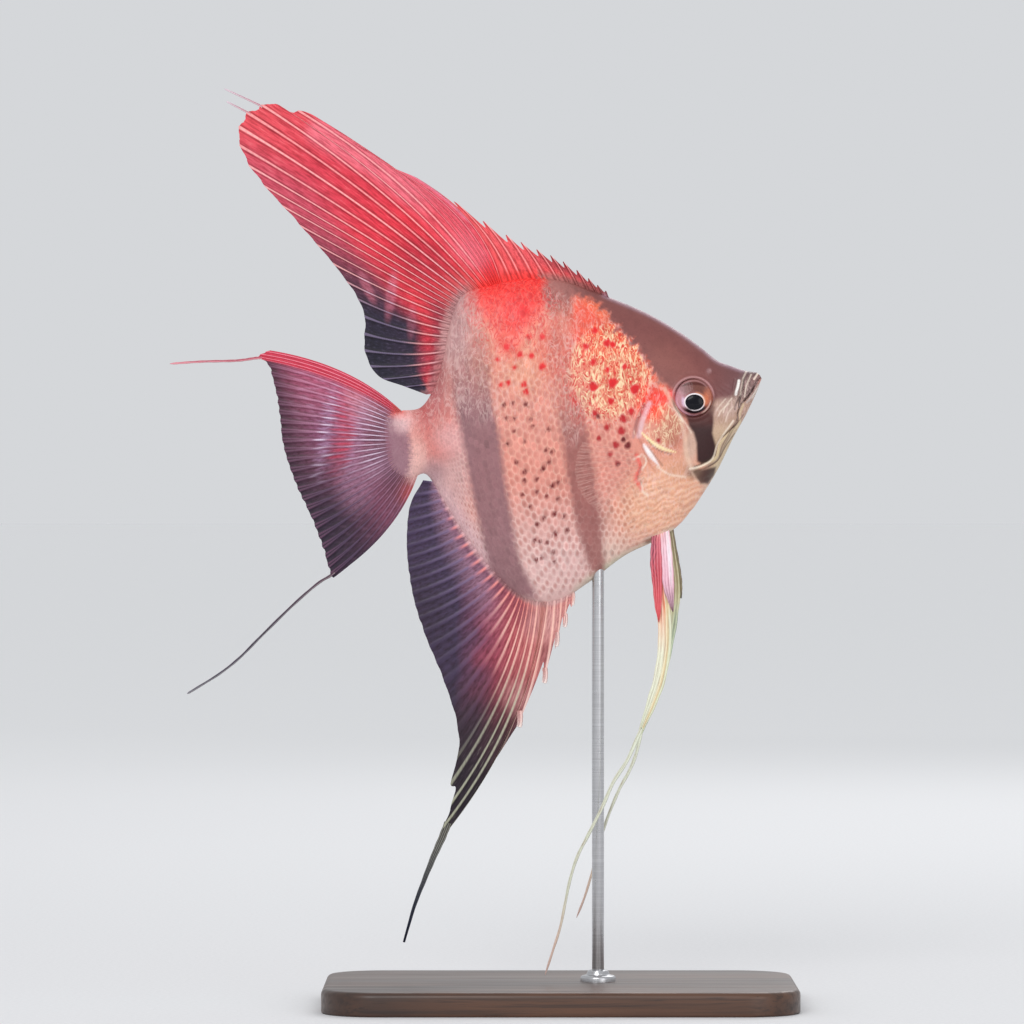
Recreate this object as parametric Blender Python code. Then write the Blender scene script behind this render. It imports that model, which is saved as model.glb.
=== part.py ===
"""Freshwater angelfish: a still, life-size model on a plain display stand.

The fish faces +X, its back is towards +Z and its right flank towards -Y. It swims with its
head about ten degrees up. The origin is the middle of the stand's underside. Lengths are in
millimetres up to the moment a mesh is written, which is in metres.

The body is one loft, parted by thin cuts into the pieces a person would name. Each fin is a
thin loft over a few key rays, each ray running from the body's edge to the fin's margin.
"""

import math

import bpy
import numpy as np

MM = 0.001

# Gaps between neighbouring solids.
GAP = 0.3

# The body as a loft. Each station is a slanting slice: x and z of its point on the back, x and
# z of its point on the belly, and half the body's width there.
BODY_STATIONS = (
    (49.0, 158.2, 50.4, 156.6, 1.4),  # lips
    (46.2, 158.6, 49.3, 153.6, 2.4),
    (43.2, 159.6, 46.5, 147.6, 3.4),
    (39.2, 161.2, 43.3, 141.8, 4.6),
    (35.2, 164.4, 39.6, 134.2, 5.9),  # front of the eye
    (29.2, 168.7, 35.6, 127.6, 7.1),
    (21.2, 173.2, 30.3, 120.3, 8.0),  # gill cover
    (11.2, 177.4, 24.2, 116.0, 8.4),  # first dorsal spine, pelvic fins
    (1.2, 181.2, 16.2, 112.1, 8.3),
    (-8.8, 182.0, 7.5, 105.6, 7.8),
    (-18.0, 180.2, -1.0, 100.6, 7.0),  # keel above the anal spines
    (-24.6, 177.8, -9.5, 101.6, 6.0),
    (-27.6, 170.6, -17.5, 109.0, 5.0),
    (-29.3, 161.7, -24.0, 117.4, 4.2),
    (-31.6, 154.4, -29.2, 126.0, 3.5),
    (-34.8, 149.7, -33.4, 132.4, 3.0),  # tail stalk
    (-39.2, 148.9, -37.0, 131.2, 2.1),
    (-41.4, 147.0, -40.2, 135.0, 1.2),
)
WIDEST_LEVEL = 0.52  # share of the way up a slice where the body is widest
SLICE_POWER = 2.2
SLICE_ROUNDNESS = 0.6

EYE_CENTRE = (32.9, 5.2, 151.6)
EYE_RADII = (5.0, 2.6, 5.0)

# Where the body is parted, as outlines of x and z. Each reaches past the body's own outline.
HEAD_EDGE = (
    (18.0, 182.0), (20.0, 174.0), (21.5, 164.5), (20.5, 155.8), (18.5, 149.5), (18.0, 144.0),
    (19.2, 138.2), (22.2, 132.8), (27.0, 128.5), (32.5, 124.0), (36.0, 116.0), (57.0, 116.0),
    (57.0, 182.0),
)
GILL_COVER_EDGE = (
    (25.0, 157.0), (26.0, 150.0), (27.0, 143.0), (29.0, 136.0), (32.5, 130.5), (30.0, 124.5),
    (16.0, 124.5), (16.0, 157.0),
)
UPPER_JAW_EDGE = (
    (46.2, 162.0), (46.0, 158.0), (45.0, 153.2), (45.8, 151.4), (47.2, 154.0), (49.6, 158.1),
    (52.5, 160.5), (52.5, 162.0),
)
LOWER_JAW_EDGE = (
    (52.5, 160.0), (49.8, 157.8), (47.5, 153.6), (45.6, 151.0), (44.0, 146.0), (43.2, 140.0),
    (55.0, 140.0),
)
TAIL_STALK_EDGE = (
    (-30.4, 156.0), (-32.6, 149.0), (-33.2, 141.0), (-32.0, 130.0), (-48.0, 126.0), (-48.0, 156.0),
)
GILL_COVER_DEPTH = 4.0  # the gill covers start this far from the middle plane

# Key rays of the fins, front to back: x and z where the ray leaves the body, x and z of its
# tip, and how far it bows to its right as a share of its length.
DORSAL_RAYS = (
    (12.2, 176.8, 11.6, 178.4, 0.0),
    (4.5, 180.1, 1.6, 185.4, 0.02),
    (-2.0, 181.4, -7.4, 189.6, 0.03),
    (-8.5, 181.8, -15.8, 193.8, 0.04),
    (-12.5, 181.6, -25.5, 200.2, 0.06),  # longest spine
    (-15.0, 181.0, -35.6, 206.6, 0.10),
    (-15.8, 180.8, -44.8, 210.6, 0.09),
    (-16.6, 180.5, -54.0, 217.0, 0.08),
    (-17.4, 180.2, -63.0, 223.0, 0.06),
    (-18.4, 179.9, -67.4, 223.2, 0.05),
    (-19.4, 179.5, -71.8, 225.2, 0.04),
    (-21.4, 178.9, -78.2, 223.0, 0.03),
    (-23.4, 178.0, -80.4, 217.0, 0.02),
    (-25.0, 176.4, -77.0, 208.6, 0.01),
    (-26.2, 174.0, -66.0, 196.0, 0.0),
    (-27.3, 171.2, -55.2, 183.4, -0.02),
    (-28.2, 167.6, -49.2, 173.4, -0.04),
    (-29.0, 163.4, -48.9, 163.8, -0.04),
    (-30.0, 159.2, -45.6, 157.4, -0.02),
    (-31.2, 155.4, -38.8, 154.6, 0.0),
    (-32.0, 152.8, -33.4, 152.6, 0.0),
)
ANAL_RAYS = (
    (3.4, 103.4, 3.1, 100.0, 0.0),
    (1.8, 102.4, 1.0, 95.6, 0.0),
    (0.3, 101.5, -1.0, 89.6, -0.02),
    (-1.4, 100.8, -3.9, 81.6, -0.02),
    (-3.2, 100.5, -10.3, 70.4, -0.03),  # longest spine
    (-4.8, 100.4, -28.0, 43.6, -0.08),
    (-6.5, 100.7, -29.2, 44.4, -0.07),
    (-8.2, 101.3, -27.9, 47.9, -0.06),
    (-10.0, 102.2, -26.4, 53.6, -0.05),
    (-11.2, 103.2, -27.4, 55.2, -0.045),
    (-12.8, 104.4, -25.7, 62.0, -0.035),
    (-14.6, 106.0, -25.4, 67.4, -0.025),
    (-16.6, 108.2, -27.0, 75.0, -0.02),
    (-18.8, 110.8, -30.0, 83.4, -0.01),
    (-21.2, 113.8, -33.5, 91.8, 0.0),
    (-23.6, 117.2, -36.2, 100.0, 0.01),
    (-25.8, 120.8, -37.9, 109.0, 0.02),
    (-28.0, 124.6, -38.3, 117.6, 0.03),
    (-29.6, 127.8, -37.4, 125.2, 0.03),
    (-31.0, 130.8, -34.2, 131.2, 0.0),
)
CAUDAL_RAYS = (
    (-40.0, 148.9, -73.0, 163.8, 0.075),
    (-40.4, 148.2, -75.6, 162.2, 0.062),
    (-40.8, 147.2, -73.2, 160.2, 0.045),
    (-41.2, 145.6, -71.4, 154.4, 0.03),
    (-41.4, 143.2, -70.2, 147.2, 0.015),
    (-41.2, 140.6, -69.2, 139.4, 0.0),
    (-40.8, 138.0, -66.0, 129.8, -0.02),
    (-39.8, 135.8, -62.2, 121.8, -0.04),
    (-38.6, 133.6, -58.9, 112.8, -0.055),
    (-37.2, 132.2, -57.2, 107.0, -0.07),
    (-35.8, 131.8, -55.6, 107.8, -0.08),
)
DORSAL_SPINES = 10  # free spine tips along the front of the dorsal fin
LAST_DORSAL_SPINE = 5  # key ray of the last, longest spine
LAST_ANAL_SPINE = 4
FIN_CUT = 0.45  # the cut between a fin's spiny part and its sail
FIN_ROOT = 1.6  # how far a fin's loft starts inside the body, before it is cut back
FIN_BASE_THICKNESS = 1.5
FIN_MARGIN_THICKNESS = 0.56

# The pelvic fins, one broad ribbon each: x, z and width down the ribbon's middle line.
PELVIC_RIGHT = (
    (26.4, 118.6, 4.0), (25.6, 112.0, 5.8), (25.6, 104.5, 5.2), (26.0, 97.0, 3.8),
    (26.0, 89.5, 3.3), (24.8, 82.0, 2.7), (22.8, 75.8, 2.1), (20.2, 69.2, 1.5),
)
PELVIC_LEFT = (
    (27.2, 118.6, 3.2), (28.2, 112.0, 3.8), (28.7, 104.5, 3.5), (28.1, 97.0, 3.1),
    (26.9, 89.5, 2.7), (25.3, 82.0, 2.1), (23.4, 75.8, 1.7), (20.8, 68.8, 1.4),
)
# The threads that run on from the fins: x, z down each thread.
PELVIC_THREAD_RIGHT = (
    (19.8, 68.4), (16.7, 61.5), (13.2, 56.0), (10.3, 49.5), (6.7, 42.4), (4.2, 37.4), (2.4, 31.6),
    (1.2, 25.8), (0.0, 20.0), (-1.8, 14.2), (-3.8, 8.0),
)
PELVIC_THREAD_LEFT = (
    (20.4, 67.9), (19.1, 62.4), (17.3, 58.0), (14.9, 53.6), (12.3, 47.4), (10.6, 42.4), (9.4, 38.2),
    (8.2, 33.2), (6.3, 26.8), (4.2, 21.4),
)
# The anal fin's streamer: x, z and width down its middle line.
ANAL_STREAMER = (
    (-29.5, 41.7, 1.9), (-31.6, 37.0, 1.6), (-34.1, 30.8, 1.2), (-36.5, 24.4, 0.9), (-39.1, 15.4, 0.6),
)
CAUDAL_THREAD_UPPER = ((-76.3, 161.8), (-81.2, 161.2), (-90.0, 161.0), (-98.0, 160.5))
CAUDAL_THREAD_LOWER = (
    (-57.6, 107.2), (-60.8, 105.2), (-66.9, 99.9), (-75.0, 92.0), (-80.2, 86.8), (-85.2, 82.8),
    (-91.6, 78.8), (-93.6, 77.6),
)
DORSAL_THREAD_UPPER = ((-75.6, 225.0), (-83.8, 228.8))
DORSAL_THREAD_LOWER = ((-78.9, 223.4), (-83.2, 225.6))
THREAD_THICKNESS = 0.56

PECTORAL_TOP = (19.6, 138.6)
PECTORAL_FOOT = (20.0, 130.8)
PECTORAL_LENGTH = 17.0
PECTORAL_FAN = (8.0, -32.0)  # degrees that the top and bottom rays point above level, aft
PECTORAL_SPLAY = 24.0  # degrees that the fan stands out from the flank
PECTORAL_THICKNESS = 0.56

STAND_LENGTH = 118.0
STAND_WIDTH = 74.0
STAND_THICKNESS = 6.0
STAND_CORNER = 14.0
STAND_EDGE = 0.8
ROD_X = 9.5
ROD_RADIUS = 1.5
COLLAR_RADIUS = 4.4
COLLAR_HEIGHT = 2.6
COLLAR_BEVEL = 0.6
ROD_REACH = 116.0  # height inside the belly, before the rod is cut back from it

COLOURS = {
    "nape": ((0.20, 0.10, 0.09), 0.42),
    "flank": ((0.62, 0.32, 0.26), 0.40),
    "throat": ((0.60, 0.40, 0.26), 0.42),
    "eye": ((0.02, 0.02, 0.03), 0.08),
    "red_fin": ((0.62, 0.05, 0.06), 0.38),
    "mauve_fin": ((0.17, 0.07, 0.12), 0.40),
    "pale_fin": ((0.62, 0.62, 0.42), 0.38),
    "clear_fin": ((0.60, 0.42, 0.36), 0.35),
    "wood": ((0.05, 0.03, 0.02), 0.45),
    "steel": ((0.55, 0.55, 0.56), 0.28),
}


def clear_scene():
    for thing in list(bpy.data.objects):
        bpy.data.objects.remove(thing)


def material(name):
    colour, roughness = COLOURS[name]
    made = bpy.data.materials.get(name)
    if made is None:
        made = bpy.data.materials.new(name)
        made.use_nodes = True
        shader = made.node_tree.nodes["Principled BSDF"]
        shader.inputs["Base Color"].default_value = (*colour, 1.0)
        shader.inputs["Roughness"].default_value = roughness
        shader.inputs["Metallic"].default_value = 1.0 if name == "steel" else 0.0
    return made


def face_outwards(mesh):
    """Turns the faces round if the closed mesh holds a negative volume."""
    mesh.calc_loop_triangles()
    points = np.array([v.co for v in mesh.vertices])
    corners = points[np.array([t.vertices for t in mesh.loop_triangles])]
    if np.linalg.det(corners).sum() < 0:
        mesh.flip_normals()


def add_object(name, points, faces, finish=None):
    """A mesh object from points in millimetres. With no finish it is a hidden cutter."""
    mesh = bpy.data.meshes.new(name)
    mesh.from_pydata([tuple(p) for p in np.asarray(points) * MM], [], faces)
    face_outwards(mesh)
    made = bpy.data.objects.new(name, mesh)
    bpy.context.scene.collection.objects.link(made)
    if finish is None:
        made.hide_render = True
        made.display_type = "WIRE"
    else:
        mesh.materials.append(material(finish))
        mesh.shade_smooth()
        mesh.set_sharp_from_angle(angle=math.radians(40.0))
    return made


def combine(target, operation, cutter):
    step = target.modifiers.new(operation.lower(), "BOOLEAN")
    step.operation = operation
    step.solver = "EXACT"
    step.object = cutter


def through(values, at):
    """The smooth (Catmull-Rom) curve through rows of values, read at row numbers `at`."""
    values = np.asarray(values, float)
    at = np.clip(np.asarray(at, float), 0.0, len(values) - 1.0)
    low = np.minimum(at.astype(int), len(values) - 2)
    t = (at - low)[..., None]
    padded = np.vstack([2 * values[0] - values[1], values, 2 * values[-1] - values[-2]])
    a, b, c, d = (padded[low + k] for k in range(4))
    return 0.5 * (2 * b + (c - a) * t + (2 * a - 5 * b + 4 * c - d) * t**2 + (3 * b - a - 3 * c + d) * t**3)


def tube_of_rings(rings):
    """Points and faces of a closed loft through rings of equal length, with flat ends."""
    count, around = rings.shape[:2]
    faces = []
    for i in range(count - 1):
        for j in range(around):
            k = (j + 1) % around
            faces.append((i * around + j, (i + 1) * around + j, (i + 1) * around + k, i * around + k))
    last = (count - 1) * around
    faces.append(tuple(range(around)))
    faces.append(tuple(last + j for j in reversed(range(around))))
    return rings.reshape(-1, 3), faces


def body_rings(grow, slices=36, half_ring=11):
    """The body's loft. Each slice is a pointed oval between its belly and back points."""
    stations = through(BODY_STATIONS, np.linspace(0, len(BODY_STATIONS) - 1, slices))
    back, belly, width = stations[:, :2], stations[:, 2:4], stations[:, 4]
    up = back - belly
    up /= np.linalg.norm(up, axis=1)[:, None]
    back, belly = back + up * grow, belly - up * grow
    level = (1 - np.cos(np.pi * np.arange(half_ring + 1) / half_ring)) / 2
    above = (level - WIDEST_LEVEL) / (1 - WIDEST_LEVEL)
    below = 1 - level / WIDEST_LEVEL
    reach = np.where(level > WIDEST_LEVEL, above, below)
    bulge = np.clip(1 - reach**SLICE_POWER, 0, 1) ** SLICE_ROUNDNESS
    middle = belly[:, None] + (back - belly)[:, None] * level[None, :, None]
    side = (width[:, None] + grow) * bulge[None, :]
    right = np.stack([middle[..., 0], -side, middle[..., 1]], axis=-1)
    left = np.stack([middle[..., 0], side, middle[..., 1]], axis=-1)
    return np.concatenate([right, left[:, -2:0:-1]], axis=1)


def add_body(name, finish=None, grow=0.0):
    """The whole body, or one grown by a gap to cut its neighbours back."""
    rings = body_rings(grow)
    if grow:
        rings[0] += (grow, 0, 0)
        rings[-1] -= (grow, 0, 0)
    points, faces = tube_of_rings(rings)
    return add_object(name, points, faces, finish)


def grown(outline, by):
    """A closed outline of x and z moved outwards along its corners."""
    outline = np.asarray(outline, float)
    before, after = np.roll(outline, 1, axis=0), np.roll(outline, -1, axis=0)
    area = np.sum(outline[:, 0] * after[:, 1] - after[:, 0] * outline[:, 1])
    into, out_of = outline - before, after - outline
    into /= np.linalg.norm(into, axis=1)[:, None]
    out_of /= np.linalg.norm(out_of, axis=1)[:, None]
    along = into + out_of
    along /= np.linalg.norm(along, axis=1)[:, None]
    turned = np.stack([along[:, 1], -along[:, 0]], axis=1) * np.sign(area)
    mitre = 1 / np.maximum(np.sum(along * into, axis=1), 0.4)
    return outline + turned * (by * mitre)[:, None]


def add_block(name, outline, low_y, high_y, grow=0.0):
    """A hidden prism over an outline of x and z, between two heights across the fish."""
    outline = grown(outline, grow)
    rings = np.stack([
        np.stack([outline[:, 0], np.full(len(outline), y), outline[:, 1]], axis=1)
        for y in (low_y - grow, high_y + grow)
    ])
    points, faces = tube_of_rings(rings)
    return add_object(name, points, faces)


def add_ellipsoid(name, centre, radii, finish=None, grow=0.0, rows=8, around=16):
    """An ellipsoid whose poles lie across the fish."""
    polar = np.pi * np.arange(1, rows) / rows
    turn = 2 * np.pi * np.arange(around) / around
    ring = np.stack([
        np.outer(np.sin(polar), np.cos(turn)),
        np.repeat(np.cos(polar)[:, None], around, axis=1),
        np.outer(np.sin(polar), np.sin(turn)),
    ], axis=-1)
    points, faces = tube_of_rings(ring)
    points = points * (np.asarray(radii) + grow) + centre
    return add_object(name, points, faces, finish)


def add_flesh():
    """The body, parted into jaws, head, gill covers, trunk and tail stalk."""
    wide = 20.0
    head_zone = add_block("cut_head", HEAD_EDGE, -wide, wide)
    head_past = add_block("cut_head_gap", HEAD_EDGE, -wide, wide, GAP)
    stalk_zone = add_block("cut_stalk", TAIL_STALK_EDGE, -wide, wide)
    stalk_past = add_block("cut_stalk_gap", TAIL_STALK_EDGE, -wide, wide, GAP)
    head = add_body("head", "nape")
    combine(head, "INTERSECT", head_zone)
    for name, edge in (("upper_jaw", UPPER_JAW_EDGE), ("lower_jaw", LOWER_JAW_EDGE)):
        jaw = add_body(name, "throat")
        combine(jaw, "INTERSECT", add_block("cut_" + name, edge, -wide, wide))
        combine(head, "DIFFERENCE", add_block("cut_" + name + "_gap", edge, -wide, wide, GAP))
    for side, name in ((-1, "right"), (1, "left")):
        low, high = sorted((side * GILL_COVER_DEPTH, side * wide))
        cover = add_body("gill_cover_" + name, "throat")
        combine(cover, "INTERSECT", head_zone)
        combine(cover, "INTERSECT", add_block("cut_gill_" + name, GILL_COVER_EDGE, low, high))
        combine(head, "DIFFERENCE", add_block("cut_gill_gap_" + name, GILL_COVER_EDGE, low, high, GAP))
        centre = (EYE_CENTRE[0], side * EYE_CENTRE[1], EYE_CENTRE[2])
        add_ellipsoid("eye_" + name, centre, EYE_RADII, "eye")
        combine(head, "DIFFERENCE", add_ellipsoid("cut_socket_" + name, centre, EYE_RADII, grow=GAP))
    trunk = add_body("trunk", "flank")
    combine(trunk, "DIFFERENCE", head_past)
    combine(trunk, "DIFFERENCE", stalk_past)
    stalk = add_body("tail_stalk", "flank")
    combine(stalk, "INTERSECT", stalk_zone)


def ray_points(rays, u, v):
    """Points of x and z on the fin's rays: u counts key rays, v runs from root 0 to tip 1.

    Each ray is a quadratic curve whose middle control point stands off its chord.
    """
    ray = through(rays, u)
    root, tip = ray[..., :2], ray[..., 2:4]
    chord = tip - root
    side = np.stack([chord[..., 1], -chord[..., 0]], axis=-1)
    control = root + 0.45 * chord + 2 * ray[..., 4:5] * side
    v = v[..., None]
    inner = root + 2 * v * (control - root)
    curve = (1 - v) ** 2 * root + 2 * v * (1 - v) * control + v**2 * tip
    return np.where(v < 0, inner, curve)


def add_sheet(name, middle, half, across, finish):
    """A closed thin solid about a grid of middle points, half its thickness to each side."""
    rows, columns = middle.shape[:2]
    shift = half[..., None] * np.asarray(across, float)
    points = np.concatenate([(middle - shift).reshape(-1, 3), (middle + shift).reshape(-1, 3)])
    number = np.arange(rows * columns).reshape(rows, columns)
    far = rows * columns
    faces = []
    for i in range(rows - 1):
        for j in range(columns - 1):
            a, b, c, d = number[i, j], number[i + 1, j], number[i + 1, j + 1], number[i, j + 1]
            faces.append((a, b, c, d))
            faces.append((a + far, d + far, c + far, b + far))
    rim = [*number[0, :-1], *number[:-1, -1], *number[-1, :0:-1], *number[:0:-1, 0]]
    for a, b in zip(rim, [*rim[1:], rim[0]]):
        faces.append((a, b, b + far, a + far))
    return add_object(name, points, faces, finish)


def sway_dorsal(x, z):
    """How far the fin leans from the middle plane: towards the right at its tip."""
    return -4.0 * np.clip((z - 182.0) / 44.0, 0, 1) ** 1.6


def sway_anal(x, z):
    return 4.5 * np.clip((104.0 - z) / 88.0, 0, 1) ** 1.6


def sway_caudal(x, z):
    return 3.6 * np.clip((-38.0 - x) / 37.0, 0, None) ** 1.7


def spine_margin(u, last, spines):
    """The share of each ray that the fin reaches: it steps back behind each spine tip."""
    phase = u / last * spines
    notch = 0.36 * (1 - phase % 1) ** 0.7
    return np.where((u >= last) | (phase % 1 < 1e-6), 1.0, 1 - notch)


def add_fin(name, rays, columns, rows, sway, finish, edge=None, clear=0.0):
    """A fin lofted over its key rays, with its first ray moved clear of the piece before it."""
    u = np.asarray(columns, float)[:, None]
    share = np.linspace(0, 1, rows)[None, :]
    ray = through(rays, u[:, 0])
    length = np.linalg.norm(ray[:, 2:4] - ray[:, :2], axis=1)[:, None]
    reach = np.ones_like(u) if edge is None else edge(u)
    start = -FIN_ROOT / length
    v = start + (reach - start) * share
    flat = ray_points(rays, np.broadcast_to(u, v.shape), v)
    along = np.gradient(flat[0], axis=0)
    normal = np.stack([-along[:, 1], along[:, 0]], axis=1) / np.linalg.norm(along, axis=1)[:, None]
    normal *= np.sign(np.sum(normal * (flat[1] - flat[0]), axis=1))[:, None]
    flat[0] += normal * clear
    x, z = flat[..., 0], flat[..., 1]
    middle = np.stack([x, sway(x, z), z], axis=-1)
    taper = np.clip(v * length / 14.0, 0, 1)
    half = (FIN_BASE_THICKNESS + (FIN_MARGIN_THICKNESS - FIN_BASE_THICKNESS) * taper) / 2
    return add_sheet(name, middle, half, (0, 1, 0), finish)


def spine_columns(last, spines):
    """Columns for a spiny edge: at each tip, just behind it and half way to the next."""
    step = last / spines
    tips = step * np.arange(spines)
    return sorted([*tips, *(tips + 0.04 * step), *(tips + 0.5 * step), last])


def add_fins(grown_body):
    dorsal_end, anal_end = len(DORSAL_RAYS) - 1, len(ANAL_RAYS) - 1
    made = [
        add_fin(
            "dorsal_fin_spines", DORSAL_RAYS, spine_columns(LAST_DORSAL_SPINE, DORSAL_SPINES), 5,
            sway_dorsal, "red_fin", lambda u: spine_margin(u, LAST_DORSAL_SPINE, DORSAL_SPINES),
        ),
        add_fin(
            "dorsal_fin_sail", DORSAL_RAYS, np.linspace(LAST_DORSAL_SPINE, dorsal_end, 29), 9,
            sway_dorsal, "red_fin", clear=FIN_CUT,
        ),
        add_fin(
            "anal_fin_spines", ANAL_RAYS, spine_columns(LAST_ANAL_SPINE, LAST_ANAL_SPINE), 4,
            sway_anal, "mauve_fin", lambda u: spine_margin(u, LAST_ANAL_SPINE, LAST_ANAL_SPINE),
        ),
        add_fin(
            "anal_fin_sail", ANAL_RAYS, np.linspace(LAST_ANAL_SPINE, anal_end, 29), 10,
            sway_anal, "mauve_fin", clear=FIN_CUT,
        ),
        add_fin(
            "caudal_fin", CAUDAL_RAYS, np.linspace(0, len(CAUDAL_RAYS) - 1, 21), 9,
            sway_caudal, "mauve_fin",
        ),
    ]
    for side, name, ribbon in ((-1, "right", PELVIC_RIGHT), (1, "left", PELVIC_LEFT)):
        made.append(add_pectoral("pectoral_fin_" + name, side))
        made.append(add_ribbon("pelvic_fin_" + name, ribbon, pelvic_spread(side), "pale_fin", 14, 0.9))
    for fin in made:
        combine(fin, "DIFFERENCE", grown_body)


def add_pectoral(name, side):
    """A fan of rays from an upright base on the flank, spread aft and standing a little out."""
    top, foot = np.array(PECTORAL_TOP), np.array(PECTORAL_FOOT)
    u = np.linspace(0, 1, 9)[:, None]
    share = np.linspace(0, 1, 6)[None, :]
    angle = np.radians(PECTORAL_FAN[0] + (PECTORAL_FAN[1] - PECTORAL_FAN[0]) * u)
    length = PECTORAL_LENGTH * (0.80 + 0.34 * np.sin(np.pi * (0.12 + 0.72 * u)) - 0.16 * u)
    out = (-1.2 + (length + 1.2) * share)
    splay = math.radians(PECTORAL_SPLAY)
    root_x, root_z = (top[k] + (foot[k] - top[k]) * u for k in range(2))
    x = root_x - out * np.cos(angle) * math.cos(splay)
    z = root_z + out * np.sin(angle)
    y = side * (7.6 + out * math.sin(splay) * np.cos(angle))
    middle = np.stack([x, y, z], axis=-1)
    half = np.full(x.shape, PECTORAL_THICKNESS / 2)
    return add_sheet(name, middle, half, (math.sin(splay), side * math.cos(splay), 0), "clear_fin")


def pelvic_spread(side):
    """How far a pelvic fin hangs from the middle plane, widening as it goes down."""
    return lambda x, z: side * (2.6 + 4.2 * np.clip((118.0 - z) / 60.0, 0, 1))


def add_ribbon(name, ribbon, depth, finish, rows, thickness):
    """A flat ribbon down its middle line, thinner at its two edges."""
    line = through(ribbon, np.linspace(0, len(ribbon) - 1, rows))
    slope = np.gradient(line[:, :2], axis=0)
    slope /= np.linalg.norm(slope, axis=1)[:, None]
    over = np.stack([-slope[:, 1], slope[:, 0]], axis=1)
    across = np.linspace(-0.5, 0.5, 5)
    flat = line[:, None, :2] + over[:, None] * line[:, None, 2:3] * across[None, :, None]
    middle = np.stack([flat[..., 0], depth(flat[..., 0], flat[..., 1]), flat[..., 1]], axis=-1)
    half = np.broadcast_to(thickness / 2 * (1 - 1.1 * across**2), middle.shape[:2])
    return add_sheet(name, middle, half, (0, 1, 0), finish)


def add_thread(name, route, depth, finish, points, lengths=1):
    """A round thread along a route of x and z, parted into a few lengths."""
    line = through(route, np.linspace(0, len(route) - 1, points))
    radius = THREAD_THICKNESS / 2 * np.linspace(1.35, 1.0, points)
    parts = np.array_split(np.arange(points), lengths)
    for number, part in enumerate(parts):
        joined = name if lengths == 1 else f"{name}_{number + 1}"
        if number < lengths - 1:
            part = [*part, parts[number + 1][0]]
        line_end = line[part].copy()
        if number < lengths - 1:
            last = line_end[-1] - line_end[-2]
            line_end[-1] -= last / np.linalg.norm(last) * GAP
        curve = bpy.data.curves.new(joined, "CURVE")
        curve.dimensions = "3D"
        curve.bevel_depth = MM
        curve.bevel_resolution = 1
        curve.use_fill_caps = True
        spline = curve.splines.new("POLY")
        spline.points.add(len(part) - 1)
        for point, (x, z), r in zip(spline.points, line_end, radius[part]):
            point.co = (x * MM, float(depth(x, z)) * MM, z * MM, 1.0)
            point.radius = r
        curve.materials.append(material(finish))
        made = bpy.data.objects.new(joined, curve)
        bpy.context.scene.collection.objects.link(made)


def add_threads():
    """The threads and streamers that run on from the tips of the fins."""
    add_thread("pelvic_thread_right", PELVIC_THREAD_RIGHT, pelvic_spread(-1), "pale_fin", 19, 2)
    add_thread("pelvic_thread_left", PELVIC_THREAD_LEFT, pelvic_spread(1), "pale_fin", 17, 2)
    add_thread("caudal_thread_upper", CAUDAL_THREAD_UPPER, sway_caudal, "red_fin", 8)
    add_thread("caudal_thread_lower", CAUDAL_THREAD_LOWER, sway_caudal, "mauve_fin", 12)
    add_thread("dorsal_thread_upper", DORSAL_THREAD_UPPER, sway_dorsal, "red_fin", 4)
    add_thread("dorsal_thread_lower", DORSAL_THREAD_LOWER, sway_dorsal, "red_fin", 4)
    add_ribbon("anal_streamer", ANAL_STREAMER, sway_anal, "mauve_fin", 10, FIN_MARGIN_THICKNESS)


def disc_rings(radii_and_heights, centre_x, around):
    turn = 2 * np.pi * np.arange(around) / around
    return np.stack([
        np.stack([centre_x + r * np.cos(turn), r * np.sin(turn), np.full(around, z)], axis=1)
        for r, z in radii_and_heights
    ])


def rounded_ring(length, width, radius, z):
    """A level ring round a rectangle whose corners are quarter circles."""
    ring = []
    for quarter, (sx, sy) in enumerate(((1, 1), (-1, 1), (-1, -1), (1, -1))):
        for turn in np.radians(np.linspace(0, 90, 7)) + math.pi / 2 * quarter:
            x = sx * (length / 2 - radius) + radius * math.cos(turn)
            y = sy * (width / 2 - radius) + radius * math.sin(turn)
            ring.append((x, y, z))
    return ring


def add_stand(grown_body):
    """A flat base with rounded corners, one upright rod to the belly and the rod's collar."""
    rings = []
    for inset, z in (
        (STAND_EDGE, 0.0), (0.0, STAND_EDGE),
        (0.0, STAND_THICKNESS - STAND_EDGE), (STAND_EDGE, STAND_THICKNESS),
    ):
        length, width = STAND_LENGTH - 2 * inset, STAND_WIDTH - 2 * inset
        rings.append(rounded_ring(length, width, STAND_CORNER - inset, z))
    add_object("stand_base", *tube_of_rings(np.array(rings)), "wood")
    foot = STAND_THICKNESS + GAP
    top = foot + COLLAR_HEIGHT
    collar = (
        (COLLAR_RADIUS, foot), (COLLAR_RADIUS, top - COLLAR_BEVEL), (COLLAR_RADIUS - COLLAR_BEVEL, top),
    )
    add_object("stand_collar", *tube_of_rings(disc_rings(collar, ROD_X, 24)), "steel")
    rod = ((ROD_RADIUS, top + GAP), (ROD_RADIUS, ROD_REACH))
    rod = add_object("stand_rod", *tube_of_rings(disc_rings(rod, ROD_X, 16)), "steel")
    combine(rod, "DIFFERENCE", grown_body)


def main():
    clear_scene()
    add_flesh()
    grown_body = add_body("cut_body", grow=GAP)
    add_fins(grown_body)
    add_threads()
    add_stand(grown_body)


main()
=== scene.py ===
"""The finish of the freshwater angelfish on its stand.

The fish faces +X, its back is towards +Z and its right flank towards -Y. Shapes are worked out in
millimetres and written in metres. One skin covers the flesh; scales lie over it in rows; each fin
is a thin two-sided sheet with raised rays; the stand is a hardwood base with a steel rod.
"""

import math

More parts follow.
